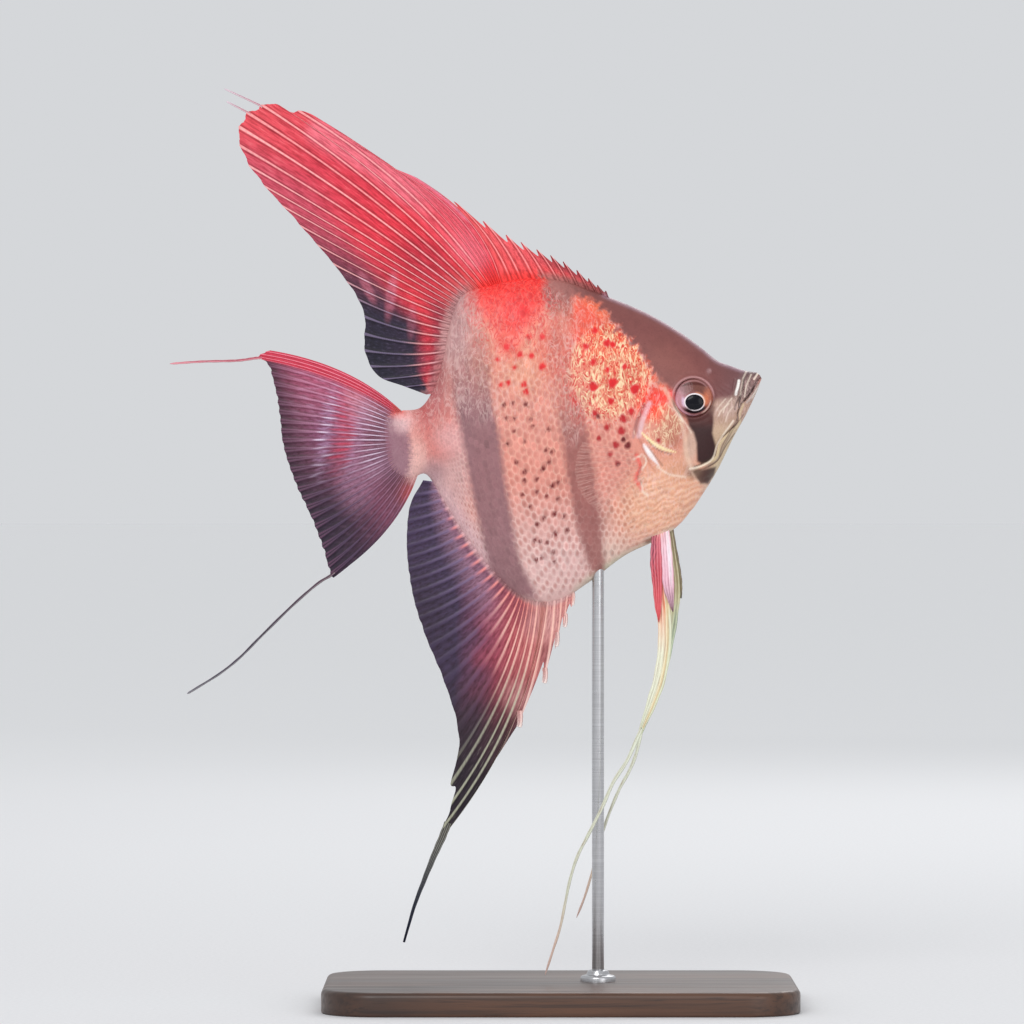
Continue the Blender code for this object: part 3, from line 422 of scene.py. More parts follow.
def flesh_colours(x, z, side):
    """The flesh's ground colour, and its marks: how much each point takes of the red net, of the
    pale net and of the grey bars (the nets' lines are drawn by the material)."""
    ragged_end = 0.8 * ripple(x, z, 17, 1.8)
    past_root = x + 37.3 + 0.028 * (z - 138.5) ** 2 + 0.6 * ripple(x * 0.5, z, 62, 0.7)
    ragged_red = 1.1 * ripple(x, z, 18, 3.6) + 0.6 * ripple(x, z, 19, 1.4)
    ragged_blotch = 0.5 * ripple(x, z, 20, 1.6)
    # Wavy folds across the throat, drawn in colour: painted shade in their troughs and painted highlight on
    # their crests.
    wave = np.sin((z * 0.95 - x * 0.32) * 4.4 + 2.4 * ripple(x, z, 41, 4.5))
    throat_front = smooth(14, 19, x) * smooth(135, 131, z)
    folds = smooth(0.25, 0.95, wave) * throat_front
    waver = 0.35 * ripple(x, z, 61, 1.3)
    grey_rear = 0.95 * band(x + waver, z, REAR_BAR, 1.2) * (0.36 + 0.64 * smooth(162, 146, z))
    grey_rear = grey_rear * smooth(99, 103.5, z)
    strong = np.maximum(smooth(158, 140, z), smooth(170, 177, z))
    grey_mid = 0.9 * band(x + 1.4 * waver, z, MID_BAR, 1.3) * (0.28 + 0.72 * strong)
    grey = np.maximum(grey_rear, grey_mid)
    away, hand, _ = near_route(x, z, NAPE_EDGE)
    ragged = 0.75 * ripple(x, z, 9, 2.4) + 0.4 * ripple(x, z, 10, 0.9)
    cap = smooth(-1.2, 1.2, away * hand + 1.3 * ragged * smooth(28, 24, x))
    rim = near_route(x, z, curve_of(BODY_STATIONS[:8, :2]))[0]
    # The nape's mauve-brown cap, darker on the snout, with a lilac rim along its top that is a painted sheen.
    cap_tint = layers(tint(130, 75, 72), (
        (116, 76, 77, smooth(34, 46, x)), (172, 112, 106, smooth(9, -2, x)),
        (150, 92, 84, 27, 160, 7, 4, -35, 0.8, 0.6), (176, 142, 158, smooth(1.3, 0.1, rim) * 0.6),
    ), x, z)
    fringe = smooth(3.4, 0.4, away) * (1 - cap) * smooth(28, 24, x) * smooth(3, 8, x)
    # The dark bar through the eye.
    dark = np.maximum(inside(x, z, EYE_BAR, 0.45), inside(x, z, CHIN_BAR, 0.45) * 0.92)
    bar_tint = over(tint(54, 22, 22), tint(84, 40, 37), smooth(143.5, 146.5, z))
    bar_tint = over(bar_tint, tint(92, 50, 46), smooth(146.5, 149.2, z))
    from_eye = np.hypot(x - EYE[0], z - EYE[1])
    upward = (z - EYE[1]) / np.maximum(from_eye, 0.1)
    red = spots_at(x, z, RED_SPOTS, side)
    brown = spots_at(x, z, DARK_SPOTS, side, 0.95)
    red_tint = over(tint(226, 18, 28), tint(176, 36, 42), smooth(158, 140, z))
    lilac = band(x, z, LILAC_BELT, 2.0)
    ground = layers(tint(227, 150, 135), (
        (240, 146, 124, smooth(150, 170, z)), (234, 168, 138, -9, 160, 5, 6.5, 0, 0.6, 0.7),
        (224, 180, 174, smooth(133, 112, z)), (206, 160, 158, smooth(-19, -25, x) * smooth(118, 128, z)),
        (214, 172, 176, lilac), (205, 118, 112, -32, 144.5, 7.5, 8.5, 0, 0.5, 1),
        (176, 84, 86, -34.4, 147.4, 2.6, 2.6, 0, 0.7, 0.8),
        # The tail fin's root: a grey-mauve muscle with a pale ragged fringe, red above and below.
        (244, 196, 186, -35.6 - 0.8 * ragged_end, 138.4, 2.2, 8.6, 8, 0.8, 0.6),
        (142, 100, 116, smooth(1, -1, past_root) * smooth(151, 148, z + ragged_end) * 0.85),
        (146, 92, 110, smooth(-3.6, -6.2, past_root) * smooth(150, 147, z) * 0.8),
        (240, 196, 196, -39.2, 145.8, 2.2, 2.6, 0, 0.7, 0.7),
        (200, 92, 88, -34.8, 144.8, 2.4, 3.4, 0, 0.8, 0.5),
        (232, 100, 88, -42.6, 149.6, 4.6, 2, -25, 0.6, 0.8),
        # Reds of the shoulder and of the dorsal fin's root.
        (252, 56, 52, -12.5, 180.0 + ragged_red, 10, 10.5, 0, 0.3, 1),
        (248, 84, 72, -13.2, 168.8, 3.6 + 0.5 * ragged_red, 7, 12, 0.4, 0.9),
        (250, 82, 60, 6.4, 169.4, 4.2 + 0.5 * ragged_red, 8.6, 6, 0.5, 0.9),
        (238, 96, 84, 3.6, 158, 1.5, 8, 0, 0.5, 0.7),
        (247, 104, 66, 13.5, 163.5, 7.5, 7.5, -45, 0.5, 0.9),
        (242, 140, 104, 13.4, 154.6, 6, 7.4, 0, 0.6, 0.8),
        (246, 96, 78, 19.4, 155.6, 3.4, 1.6, -20, 0.6, 0.7),
        (222, 100, 84, -1.6, 163.4, 4.2, 6.4, 0, 0.6, 0.75),
        (238, 188, 188, -27.4, 142, 3.4, 3.2, 0, 0.9, 0.6),
        (166, 108, 94, -19.4, 160, 2.8, 8, 5, 0.8, 0.55),
        (170, 84, 92, -31, 156.5, 2.4, 7.5, 0, 0.6, 0.7),
        (184, 104, 96, -26, 155.4, 4.2, 5.6, 0, 0.7, 0.65),
        # A darker patch low on the tail stalk, by the anal fin's rear: painted shadow.
        (152, 116, 124, -31.6, 133, 2.6, 2.8, 0, 0.7, 0.6),
        (214, 100, 78, 2, 162, 19, 12, -20, 0.9, 0.3),
        (122, 82, 80, 9, 121, 2.8, 4.4, 0, 0.8, 0.4),
        (236, 212, 192, 13.4, 113, 4.6, 4, 0, 0.9, 0.5),
        (222, 212, 190, 28.6, 102, 4.4, 3.4, 0, 0.9, 0.45),
        (212, 100, 68, 19.6, 159.6, 2.8, 7.6, -42, 0.7, 0.85),
        (252, 92, 62, 21, 149.2, 2.4, 3.2, 0, 0.7, 0.95),
        (186, 84, 68, 13.6, 169.6, 3.4, 3, -45, 0.7, 0.7),
        (250, 38, 38, -10.8, 173.6, 3.8, 5, 0, 0.7, 0.95),
        # Head: cheeks, throat and belly.
        (226, 148, 124, 25.5, 138.6, 6.6, 7, 0, 0.6, 0.9),
        (238, 178, 146, 27, 126.5, 14, 9, 30, 0.5, 1),
        (251, 70, 46, 22.8, 150.4, 3.0 + ragged_blotch, 5, 30, 0.4, 1),
        (251, 44, 38, 26.2, 152.6, 2.6, 1.9, 0, 0.7, 0.95),
        (240, 128, 100, 26.6, 146.6, 2.4, 3, 30, 0.6, 0.6),
        (150, 118, 96, 28, 141, 1.2, 1.2, 0, 0.7, 0.7),
        (190, 116, 94, 28.6, 143.6, 3.6, 5, -20, 0.7, 0.9),
        (188, 150, 130, smooth(34.5, 37.5, x) * smooth(158, 152, z)),
        (210, 182, 150, smooth(36, 39, x) * smooth(148, 142, z) * 0.8),
        (206, 176, 156, 32.8, 140.4, 1.9, 5.2, -8, 0.6, 0.8),
        (128, 74, 60, 25.6, 157.4, 2.8, 3.2, 0, 0.8, 0.45),
        (188, 164, 152, 42.4, 150.6, 2.4, 3.6, -15, 0.6, 0.6),
        (212, 194, 160, near_share(x, z, ((45.5, 143.8), (41.4, 137), (38.8, 132.4)), 2.6) * 0.6),
        (196, 192, 166,
         near_share(x, z, ((27.6, 117.4), (20, 112.8), (12, 108.6), (5, 103.6)), 3.2) * 0.85),
        # A dark patch on the belly's edge above the pelvic fins: painted shadow.
        (92, 62, 52, 22.6, 116.2, 1.4, 0.9, 20, 0.7, 0.6),
        # Belly patch, then the throat's folds: darker bands as painted shade, paler ones as painted
        # highlight.
        (228, 190, 186, -2, 107, 9, 7, 20, 0.5, 0.7), (206, 128, 100, folds * 0.34),
        (255, 222, 190, smooth(-0.3, -0.9, wave) * throat_front * 0.3),
        # Bars.
        (144, 101, 107, grey_rear), (154, 93, 89, grey_mid), (246, 108, 66, fringe * 0.8), (cap_tint, cap),
        # Dark bar through the eye, broken by the pale fold under the jaw.
        (bar_tint, dark * (1 - 0.3 * smooth(147.2, 149.6, z))),
        (204, 140, 108, 29.4, 133.4, 3, 3, 0, 0.7, 0.5),
        (120, 92, 76, 33.2, 133.2, 1.8, 1.6, 0, 0.7, 0.8),
        # Streaks and seams of the head.
        # A pale line on the gill cover's edge, painted highlight, and a grey one just behind it, painted
        # shadow under the edge.
        (240, 206, 212, near_share(x, z, GILL_SLIT + np.array((0.9, 0.2)), 1) * 0.7),
        (150, 118, 122, near_share(x, z, GILL_SLIT - np.array((0.4, 0)), 0.7) * 0.5),
        (254, 232, 176, band_of(x, z, YELLOW_STREAK, 0.18)),
        (252, 240, 238, band_of(x, z, WHITE_STREAK, 0.22)),
        (236, 86, 76, near_share(x, z, FIN_SOCKET, 0.75) * 0.85),
        (240, 205, 180, near_share(x, z, CHEEK_EDGE, 0.8) * 0.55 * (1 - dark)),
        # Along the folds under the jaw: a pale line on the raised side, painted highlight, and dark lines in
        # the folds, painted shade.
        (236, 220, 170, near_share(x, z, JAW_FOLD + np.array((0.55, -0.25)), 0.40) * 0.45),
        (74, 58, 46, near_share(x, z, JAW_FOLD, 0.24) * 0.85),
        (104, 80, 62, near_share(x, z, JAW_FOLD_LOW, 0.22) * 0.75),
        (122, 98, 98, 47, 155.4, 2.6, 4.8, -28, 0.4, 0.85),
        (200, 164, 150, 40.6, 149, 2.4, 2.2, 0, 0.8, 0.5),
        # The raised maxilla white with painted highlight, and the crease before it dark with painted shade.
        (246, 242, 236, near_share(x, z, MAXILLA[:13], 0.52)),
        (66, 50, 50, near_share(x, z, MAXILLA_FRONT, 0.36) * 0.85),
    ), x, z)
    # Dark lines are painted shade in the creases, pale ones painted highlights on the folds.
    for route, width, tone in HEAD_LINES:
        line_tint = tint(92, 66, 62) if tone < 0 else tint(252, 236, 216)
        ground = over(ground, line_tint, near_share(x, z, curve_of(route, 4), width + 0.12) * abs(tone))
    ground = layers(ground, (
        # The mouth's slit: painted shade.
        (74, 56, 56, near_share(x, z, MOUTH, 0.34) * 0.7),
        (206, 196, 190, near_share(x, z, LIP_LOWER, 0.4) * 0.6),
        (176, 136, 138, smooth(1, 0.2, np.hypot(x - NOSTRIL[0], z - NOSTRIL[1])) * 0.6),
        # Round the socket: the skin's raised rim painted paler above, a painted highlight, and darker below,
        # painted shade.
        (200, 148, 148, smooth(0.5, 0.12, np.abs(from_eye - 5.05)) * smooth(-0.3, 0.4, upward) * 0.8),
        (96, 54, 52, smooth(0.4, 0.1, np.abs(from_eye - 5.1)) * smooth(0.3, -0.4, upward) * 0.7),
        # Spots.
        (red_tint, red), (112, 16, 22, brown),
    ))
    shoulder = patch(x, z, (12.0, 158.0), (11.5, 13.0), -20, 0.35)
    root_zone = patch(x, z, (-12.0, 174.0), (11.0, 12.0), 0, 0.4)
    clear = (1 - cap) * (1 - dark) * (1 - np.maximum(red, brown)) * smooth(5.2, 6.4, from_eye)
    red_net = np.maximum(shoulder, 0.9 * root_zone) * clear
    cheek_net = 0.75 * patch(x, z, (26.0, 145.0), (5.4, 6.8), -25, 0.4)
    cream_net = np.maximum(shoulder, cheek_net) * clear * (1 - 0.85 * grey_mid)
    throat = smooth(16, 21, x) * smooth(134, 130, z)
    # The thin pale lines: on the upper flank, the lilac belt, throat and cheek, fewer on the bars.
    thin_net = 0.05 + 0.30 * smooth(140, 150, z) * (1 - root_zone) + 0.35 * lilac + 0.28 * throat
    thin_net = thin_net + 0.26 * patch(x, z, (26.0, 135.0), (7.0, 6.5), 0, 0.5)
    thin_net = thin_net * (1 - 0.9 * smooth(150, 142, z) * np.maximum(grey, 0))
    on_root = (0.04 + 0.1 * smooth(176, 170, z)) * root_zone
    thin_net = np.minimum(thin_net + 0.16 * grey * smooth(143, 151, z) + on_root, 0.4)
    thin_net = np.maximum(thin_net, 0.4 * patch(x, z, (3.0, 145.4), (2.6, 5.6), 0, 0.4))
    # Where scales show little: on bars, cap, back, tail stalk, throat, the red saddle and spots.
    quiet = np.maximum.reduce([
        grey, cap, 0.75 * smooth(156, 170, z), 0.75 * smooth(-22, -29, x), smooth(-33, -37.5, x),
        0.8 * throat, 0.85 * root_zone, red, brown,
    ])
    marks = np.stack([red_net, np.maximum(cream_net, thin_net * clear), quiet], axis=-1)
    return ground, marks


# ---------------------------------------------------------------- pieces: mesh writing
def facing_out(points, faces):
    """The faces, turned round if they hold a negative volume (the sum of signed tetrahedra)."""
    volume = 0.0
    for block in faces:
        for k in range(1, block.shape[1] - 1):
            a, b, c = points[block[:, 0]], points[block[:, k]], points[block[:, k + 1]]
            volume += np.einsum("ij,ij->", a, np.cross(b, c))
    return [block[:, ::-1] if volume < 0 else block for block in faces], volume < 0


def put(name, data):
    """An object of this data, in the scene."""
    made = bpy.data.objects.new(name, data)
    bpy.context.scene.collection.objects.link(made)
    return made


def make_piece(
    name, points, faces, finish, nodes=(), colours=None, maps=None, crease=None, flat_ends=False,
):
    """A mesh object from points in millimetres and blocks of faces, each block an array whose
    rows are corner numbers. `colours` are per point, `maps` per point or per face corner. With
    `flat_ends` the last two faces are flat, and not shaded round into the ones beside them."""
    points = np.asarray(points, float).reshape(-1, 3)
    faces, turned = facing_out(points, faces)
    mesh = bpy.data.meshes.new(name)
    corners = np.concatenate([block.ravel() for block in faces]).astype(np.int32)
    sizes = np.concatenate([np.full(len(block), block.shape[1]) for block in faces])
    mesh.vertices.add(len(points))
    mesh.vertices.foreach_set("co", (points * MM).astype(np.float32).ravel())
    mesh.loops.add(len(corners))
    mesh.loops.foreach_set("vertex_index", corners)
    mesh.polygons.add(len(sizes))
    mesh.polygons.foreach_set("loop_start", (np.cumsum(sizes) - sizes).astype(np.int32))
    mesh.update(calc_edges=True)
    for key, values in (colours or {}).items():
        layer = mesh.color_attributes.new(key, "FLOAT_COLOR", "POINT")
        values = np.asarray(values, float).reshape(-1, 3)
        values = np.hstack([values, np.ones((len(values), 1))])
        layer.data.foreach_set("color", values.astype(np.float32).ravel())
    for key, values in (maps or {}).items():
        layer = mesh.uv_layers.new(name=key)
        if isinstance(values, list):
            per_corner = np.concatenate([(b[:, ::-1] if turned else b).reshape(-1, 2) for b in values])
        else:
            per_corner = np.asarray(values, float).reshape(-1, 2)[corners]
        layer.data.foreach_set("uv", per_corner.astype(np.float32).ravel())
    mesh.materials.append(finish)
    mesh.validate()
    mesh.shade_smooth()
    if flat_ends:
        for face in mesh.polygons[-2:]:
            face.use_smooth = False
    if crease is not None:
        mesh.set_sharp_from_angle(angle=math.radians(crease))
    made = put(name, mesh)
    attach(made, "root")
    if nodes:
        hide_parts(*nodes)
    return made


def grid_faces(rows, columns, wrap=False):
    """Four-cornered faces of a grid of points, joined round from its last column if `wrap`."""
    i, j = np.meshgrid(np.arange(rows - 1), np.arange(columns if wrap else columns - 1), indexing="ij")
    k = (j + 1) % columns
    here, next_row = i * columns, (i + 1) * columns
    return np.stack([here + j, next_row + j, next_row + k, here + k], -1).reshape(-1, 4)


def closed_rings(rows, around):
    """Faces of rings one after another, with one face over each end."""
    ring = np.arange(around)
    return [grid_faces(rows, around, wrap=True), np.stack([ring, (rows - 1) * around + ring[::-1]])]


def rim_of(rows, columns):
    """Numbers of a grid's outer points, in order round it."""
    number = np.arange(rows * columns).reshape(rows, columns)
    return np.concatenate([number[0, :-1], number[:-1, -1], number[-1, :0:-1], number[:0:-1, 0]])


# ---------------------------------------------------------------- pieces: skin
SKIN_HALF = 160
SKIN_KNOTS = ((0, 0), (1, 28), (5, 132), (7, 196), (9, 230), (18, 300))


def skin_piece(finish):
    """One closed skin: rings of points at fixed steps of station number, each ring going up the
    right flank and down the left, its levels a mean of even and cosine steps."""
    knots = np.array(SKIN_KNOTS, float)
    u = np.interp(np.arange(knots[-1, 1] + 1), knots[:, 1], knots[:, 0])
    step = np.arange(SKIN_HALF + 1) / SKIN_HALF
    level = 0.5 * step + 0.25 * (1 - np.cos(np.pi * step))
    u_grid, level_grid = np.meshgrid(u, level, indexing="ij")
    probe = body_point(u_grid, level_grid, -1, carved=False)
    under = -COAT_DEPTH * coat_share(probe[..., 0], probe[..., 2])
    right = body_point(u_grid, level_grid, -1, under)
    left = body_point(u_grid, level_grid, 1, under)[:, -2:0:-1]
    rings = np.concatenate([right, left], axis=1)
    count, around = rings.shape[:2]
    front = rings[0].mean(axis=0) + (0.25, 0, 0.1)
    back = rings[-1].mean(axis=0) - (0.2, 0, 0)
    points = np.concatenate([rings.reshape(-1, 3), front[None], back[None]])
    quads = grid_faces(count, around, wrap=True)
    ring = np.arange(around)
    after = (ring + 1) % around
    last = (count - 1) * around
    cap_front = np.stack([ring, after, np.full(around, count * around)], -1)
    cap_back = np.stack([last + after, last + ring, np.full(around, count * around + 1)], -1)
    side = np.where(np.arange(around) > SKIN_HALF, 1.0, -1.0)
    side_all = np.concatenate([np.tile(side, count), (-1, -1)])
    ground, marks = flesh_colours(points[:, 0], points[:, 2], side_all)
    # Unwrap: along the body one way, round the girth the other, cut down the belly's edge.
    i, j = np.meshgrid(np.arange(count - 1), np.arange(around), indexing="ij")
    along, girth = unwrap_along(u), np.arange(around + 1) / around
    flat = np.stack([
        np.stack([along[i], girth[j]], -1), np.stack([along[i + 1], girth[j]], -1),
        np.stack([along[i + 1], girth[j + 1]], -1), np.stack([along[i], girth[j + 1]], -1),
    ], axis=2).reshape(-1, 4, 2)
    flat = 0.02 + 0.96 * flat
    cap_map = np.zeros((around, 3, 2))
    tiny = 0.006 * np.stack([np.cos(girth * 2 * np.pi), np.sin(girth * 2 * np.pi)], -1)
    cap_map[:, 0], cap_map[:, 1], cap_map[:, 2] = tiny[:-1], tiny[1:], 0
    maps = {"OFBake": [flat, cap_map + (0.008, 0.3), cap_map + (0.992, 0.7)]}
    return make_piece(
        "skin", points, [quads, cap_front, cap_back], finish,
        ("head", "upper_jaw", "lower_jaw", "gill_cover_left", "gill_cover_right", "trunk", "tail_stalk"),
        {"ground": ground, "marks": marks}, maps,
    )


def unwrap_along(u):
    """Share of the way from snout to tail at each station number, by distance."""
    fine = np.linspace(0, LAST_STATION, 400)
    row = through(BODY_STATIONS, fine)
    middle = (row[:, :2] + row[:, 2:4]) / 2
    run = run_of(middle)
    return np.interp(u, fine, run / run[-1])


# ---------------------------------------------------------------- pieces: scales
SCALE_ROWS = 36
SCALE_ALONG, SCALE_ACROSS = 6, 7
SCALE_PITCH = 0.64  # spacing along a row, as a share of the rows' spacing


def scale_roots(side):
    """Root places of one flank's scales, as station number, level, and the row's spacing there.

    Columns follow the body's slices, their spacing a fixed share of the slice's height over the
    number of rows. Every second column is moved up by half a row, and low columns lean forward.
    """
    fine = np.linspace(4.4, LAST_STATION - 1.3, 500)
    row = through(BODY_STATIONS, fine)
    height = np.linalg.norm(row[:, :2] - row[:, 2:4], axis=1)
    middle = (row[:, :2] + row[:, 2:4]) / 2
    stride = np.linalg.norm(np.diff(middle, axis=0), axis=1)
    spacing = SCALE_PITCH * height / SCALE_ROWS
    run = np.concatenate([[0], np.cumsum(stride / spacing[:-1])])
    column = np.arange(int(run[-1]))
    rows = np.arange(SCALE_ROWS) + 0.5
    column_grid, row_grid = np.meshgrid(column, rows, indexing="ij")
    level = (row_grid + 0.5 * (column_grid % 2) - 0.25) / SCALE_ROWS
    lean = 2.6 * np.clip(0.42 - level, 0, 1) ** 2 * 10
    u = np.interp(column_grid - lean, run, fine)
    draw = np.random.default_rng(5 if side < 0 else 6)
    u = u + draw.normal(0, 0.004, u.shape)
    level = level + draw.normal(0, 0.0008, level.shape)
    pitch = np.interp(u, fine, height) / SCALE_ROWS
    keep = (level > 0.012) & (level < 0.988)
    return u[keep], level[keep], pitch[keep]


def scale_piece(name, side, roots, finish):
    """Overlapping scales. Each is a rounded shield in its own frame: `a` runs from its root to
    its free edge and `b` across it. The shield's half width is 1 to the middle and then falls as
    a circle does; its height rises along `a` and is crowned across `b`. The frame is laid on the
    body by moving station number and level by the matching distances."""
    u, level, pitch = roots
    probe = body_point(u, level, side, -COAT_DEPTH, carved=False)
    share = coat_share(probe[:, 0], probe[:, 2])
    from_eye = np.hypot(probe[:, 0] - EYE[0], probe[:, 2] - EYE[1])
    keep = (share > 0.5) & (from_eye > 8)
    u, level, pitch, probe = u[keep], level[keep], pitch[keep], probe[keep]
    step = 0.02
    along = (body_point(u + step, level, side, -COAT_DEPTH, carved=False) - probe) / step
    up = (body_point(u, level + step * 0.1, side, -COAT_DEPTH, carved=False) - probe) / (step * 0.1)
    u_rate, level_rate = np.linalg.norm(along, axis=1), np.linalg.norm(up, axis=1)
    a, b = np.meshgrid(np.linspace(0, 1, SCALE_ALONG), np.linspace(-1, 1, SCALE_ACROSS), indexing="ij")
    a, b = a.ravel(), b.ravel()
    taper = np.sqrt(np.clip(1 - np.clip((a - 0.4) / 0.6, 0, 1) ** 2.4, 0, 1))
    taper = taper * (0.75 + 0.25 * smooth(0, 0.3, a))
    length, half = 1.62 * SCALE_PITCH * pitch[:, None], 0.62 * pitch[:, None]
    move_a, move_b = (a - 0.35) * length, b * taper * half
    u_all = u[:, None] + move_a / u_rate[:, None]
    level_all = np.clip(level[:, None] + move_b / level_rate[:, None], 0.001, 0.999)
    crown = 1 - (b * 0.95) ** 2
    thick = np.clip(pitch / 2.2, 0.35, 1.0)[:, None]
    bulge = 0.03 * crown * smooth(0, 0.5, a) * smooth(1.15, 0.8, a)
    rise = thick * (-0.05 + 0.065 * smooth(-0.1, 0.85, a) + bulge)
    flat = body_point(u_all, level_all, side, -COAT_DEPTH, carved=False)
    ground, marks = flesh_colours(flat[..., 0], flat[..., 2], np.full(flat.shape[:2], side))
    tone = np.random.default_rng(8 if side < 0 else 9).normal(1.0, 0.06, len(u))
    ground = ground * tone[:, None, None]
    rise = rise * (1 - 0.6 * marks[..., 2])
    normal = unit(np.cross(along, up))
    normal *= np.sign(normal[:, 1] * side)[:, None]
    points = flat + normal[:, None] * rise[..., None]
    count, size = len(u), SCALE_ALONG * SCALE_ACROSS
    top = grid_faces(SCALE_ALONG, SCALE_ACROSS)
    first = (np.arange(count) * size)[:, None, None]
    quads = (first + top[None]).reshape(-1, 4)
    backs = first[:, 0] + rim_of(SCALE_ALONG, SCALE_ACROSS)[None]
    own = np.broadcast_to(np.stack([b * taper, a], -1), (count, size, 2))
    root = np.stack([unwrap_along(u), np.where(side < 0, level / 2, 1 - level / 2)], -1) * 0.96 + 0.02
    patch_map = root[:, None] + 0.0015 * np.stack([2 * a - 1, b * taper], -1)[None]
    return make_piece(
        name, points, [quads, backs], finish, (),
        {"ground": ground, "marks": marks}, {"OFBake": patch_map, "own": own}, crease=50,
    )


# ---------------------------------------------------------------- pieces: fins
# Key rays, front to back: x and z where the ray leaves the body, x and z of its tip, and how far
# it bows to its right as a share of its length.
DORSAL_RAYS = np.array((
    (12.2, 176.8, 11.6, 178.4, 0),
    (4.5, 180.1, 1.6, 185.4, 0.02),
    (-2, 181.4, -7.4, 189.6, 0.03),
    (-8.5, 181.8, -15.8, 193.8, 0.04),
    (-12.5, 181.6, -25.5, 200.2, 0.06),  # longest spine
    (-15, 181, -35.6, 206.6, 0.10),
    (-15.8, 180.8, -44.8, 210.6, 0.09),
    (-16.6, 180.5, -54, 217, 0.08),
    (-17.4, 180.2, -63, 223, 0.06),
    (-18.4, 179.9, -67.4, 223.2, 0.05),
    (-19.4, 179.5, -71.8, 225.2, 0.04),
    (-21.4, 178.9, -78.2, 223, 0.03),
    (-23.4, 178, -80.4, 217, 0.02),
    (-25, 176.4, -77, 208.6, 0.01),
    (-26.2, 174, -66, 196, 0),
    (-27.3, 171.2, -55.2, 183.4, -0.02),
    (-28.2, 167.6, -49.2, 173.4, -0.04),
    (-29, 163.4, -48.9, 163.8, -0.04),
    (-30, 159.2, -45.6, 157.4, -0.02),
    (-31.2, 155.4, -38.8, 154.6, 0),
    (-32, 152.8, -33.4, 152.6, 0),
))
ANAL_RAYS = np.array((
    (3.4, 103.4, 3.1, 100, 0),
    (1.8, 102.4, 1, 95.6, 0),
    (0.3, 101.5, -1, 89.6, -0.02),
    (-1.4, 100.8, -3.9, 81.6, -0.02),
    (-3.2, 100.5, -10.3, 70.4, -0.03),  # longest spine
    (-4.8, 100.4, -28, 43.6, -0.08),
    (-5.6, 100.5, -29.2, 44.4, -0.075),
    (-6.4, 100.7, -27.9, 47.9, -0.07),
    (-7.2, 101, -26.4, 53.6, -0.065),
    (-7.8, 101.3, -27.4, 55.2, -0.06),
    (-8.6, 101.6, -25.7, 62, -0.055),
    (-9.2, 101.9, -25.4, 67.4, -0.05),
    (-10, 102.4, -27, 75, -0.05),
    (-11.6, 103.5, -30, 83.4, -0.05),
    (-14.4, 105.9, -33.5, 91.8, -0.045),
    (-18, 109.8, -36.2, 100, -0.04),
    (-22.6, 115.8, -37.9, 109, -0.03),
    (-26.4, 122, -38.3, 117.6, -0.02),
    (-29.2, 127.2, -37.4, 125.2, 0),
    (-31, 130.8, -34.2, 131.2, 0),
))
CAUDAL_RAYS = np.array((
    (-40, 148.9, -73, 163.8, 0.075),
    (-40.4, 148.2, -75.6, 162.2, 0.062),
    (-40.8, 147.2, -73.2, 160.2, 0.045),
    (-41.2, 145.6, -71.4, 154.4, 0.03),
    (-41.4, 143.2, -70.2, 147.2, 0.015),
    (-41.2, 140.6, -69.2, 139.4, 0),
    (-40.8, 138, -66, 129.8, -0.02),
    (-39.8, 135.8, -62.2, 121.8, -0.04),
    (-38.6, 133.6, -58.9, 112.8, -0.055),
    (-37.2, 132.2, -57.2, 107, -0.07),
    (-35.8, 131.8, -55.6, 107.8, -0.08),
))
# Where the spines of the two fins stand, as key-ray numbers; the last is the first soft ray.
DORSAL_SPINES = (0.0, 0.2, 0.42, 0.7, 1.06, 1.4, 1.78, 2.25, 2.68, 3.3, 4.0, 5.0)
ANAL_SPINES = (0.0, 1.0, 2.0, 3.0, 4.0)
FIN_ROOT = 1.1  # how deep a fin's root lies in the body
FIN_BASE_HALF, FIN_MARGIN_HALF = 0.72, 0.27  # half a fin's thickness at its root and its margin
FIN_THINNING = 14.0  # how far from its root a fin has its margin's thickness
FIN_MEMBRANE, FIN_RAY = 0.48, 0.50  # shares of the thickness: the membrane's, and what rays add
PER_RAY = 11  # columns of points to each soft ray
SPINE_FORK = 0.42  # spines stay below the share at which rays part


def ray_points(rays, u, v):
    """Points of x and z on the fin's rays: u counts key rays, v runs from root 0 to tip 1.
    Each ray is a quadratic curve whose middle control point stands off its chord."""
    ray = through(rays, u)
    root, tip = ray[..., :2], ray[..., 2:4]
    chord = tip - root
    side = np.stack([chord[..., 1], -chord[..., 0]], axis=-1)
    control = root + 0.45 * chord + 2 * ray[..., 4:5] * side
    v = np.asarray(v)[..., None]
    inner = root + 2 * v * (control - root)
    curve = (1 - v) ** 2 * root + 2 * v * (1 - v) * control + v**2 * tip
    return np.where(v < 0, inner, curve)


def sway_of(amount, span, power, past, most=1):
    """A fin's sideways sway: `amount` at `span` past its root's line, growing as a power of the way."""
    return lambda x, z: amount * np.clip(past(x, z) / span, 0, most) ** power


sway_dorsal = sway_of(-4.0, 44.0, 1.6, lambda x, z: z - 182.0)
sway_anal = sway_of(4.5, 88.0, 1.6, lambda x, z: 104.0 - z)
sway_caudal = sway_of(3.6, 37.0, 1.7, lambda x, z: -38.0 - x, None)


def pelvic_spread(side, more=0.0):
    """How far a pelvic fin hangs from the middle plane, widening as it goes down."""
    def spread(x, z):
        """Sideways place: a set distance, plus the way down eased off past its first length."""
        down = np.clip((118.0 - z) / 60.0, 0, None)
        eased = down - 0.05 * np.log1p(np.exp((down - 1.0) / 0.05))
        return side * (2.6 - 1.7 * smooth(114.0, 119.5, z) + 4.2 * eased + more * smooth(119.0, 113.5, z))
    return spread


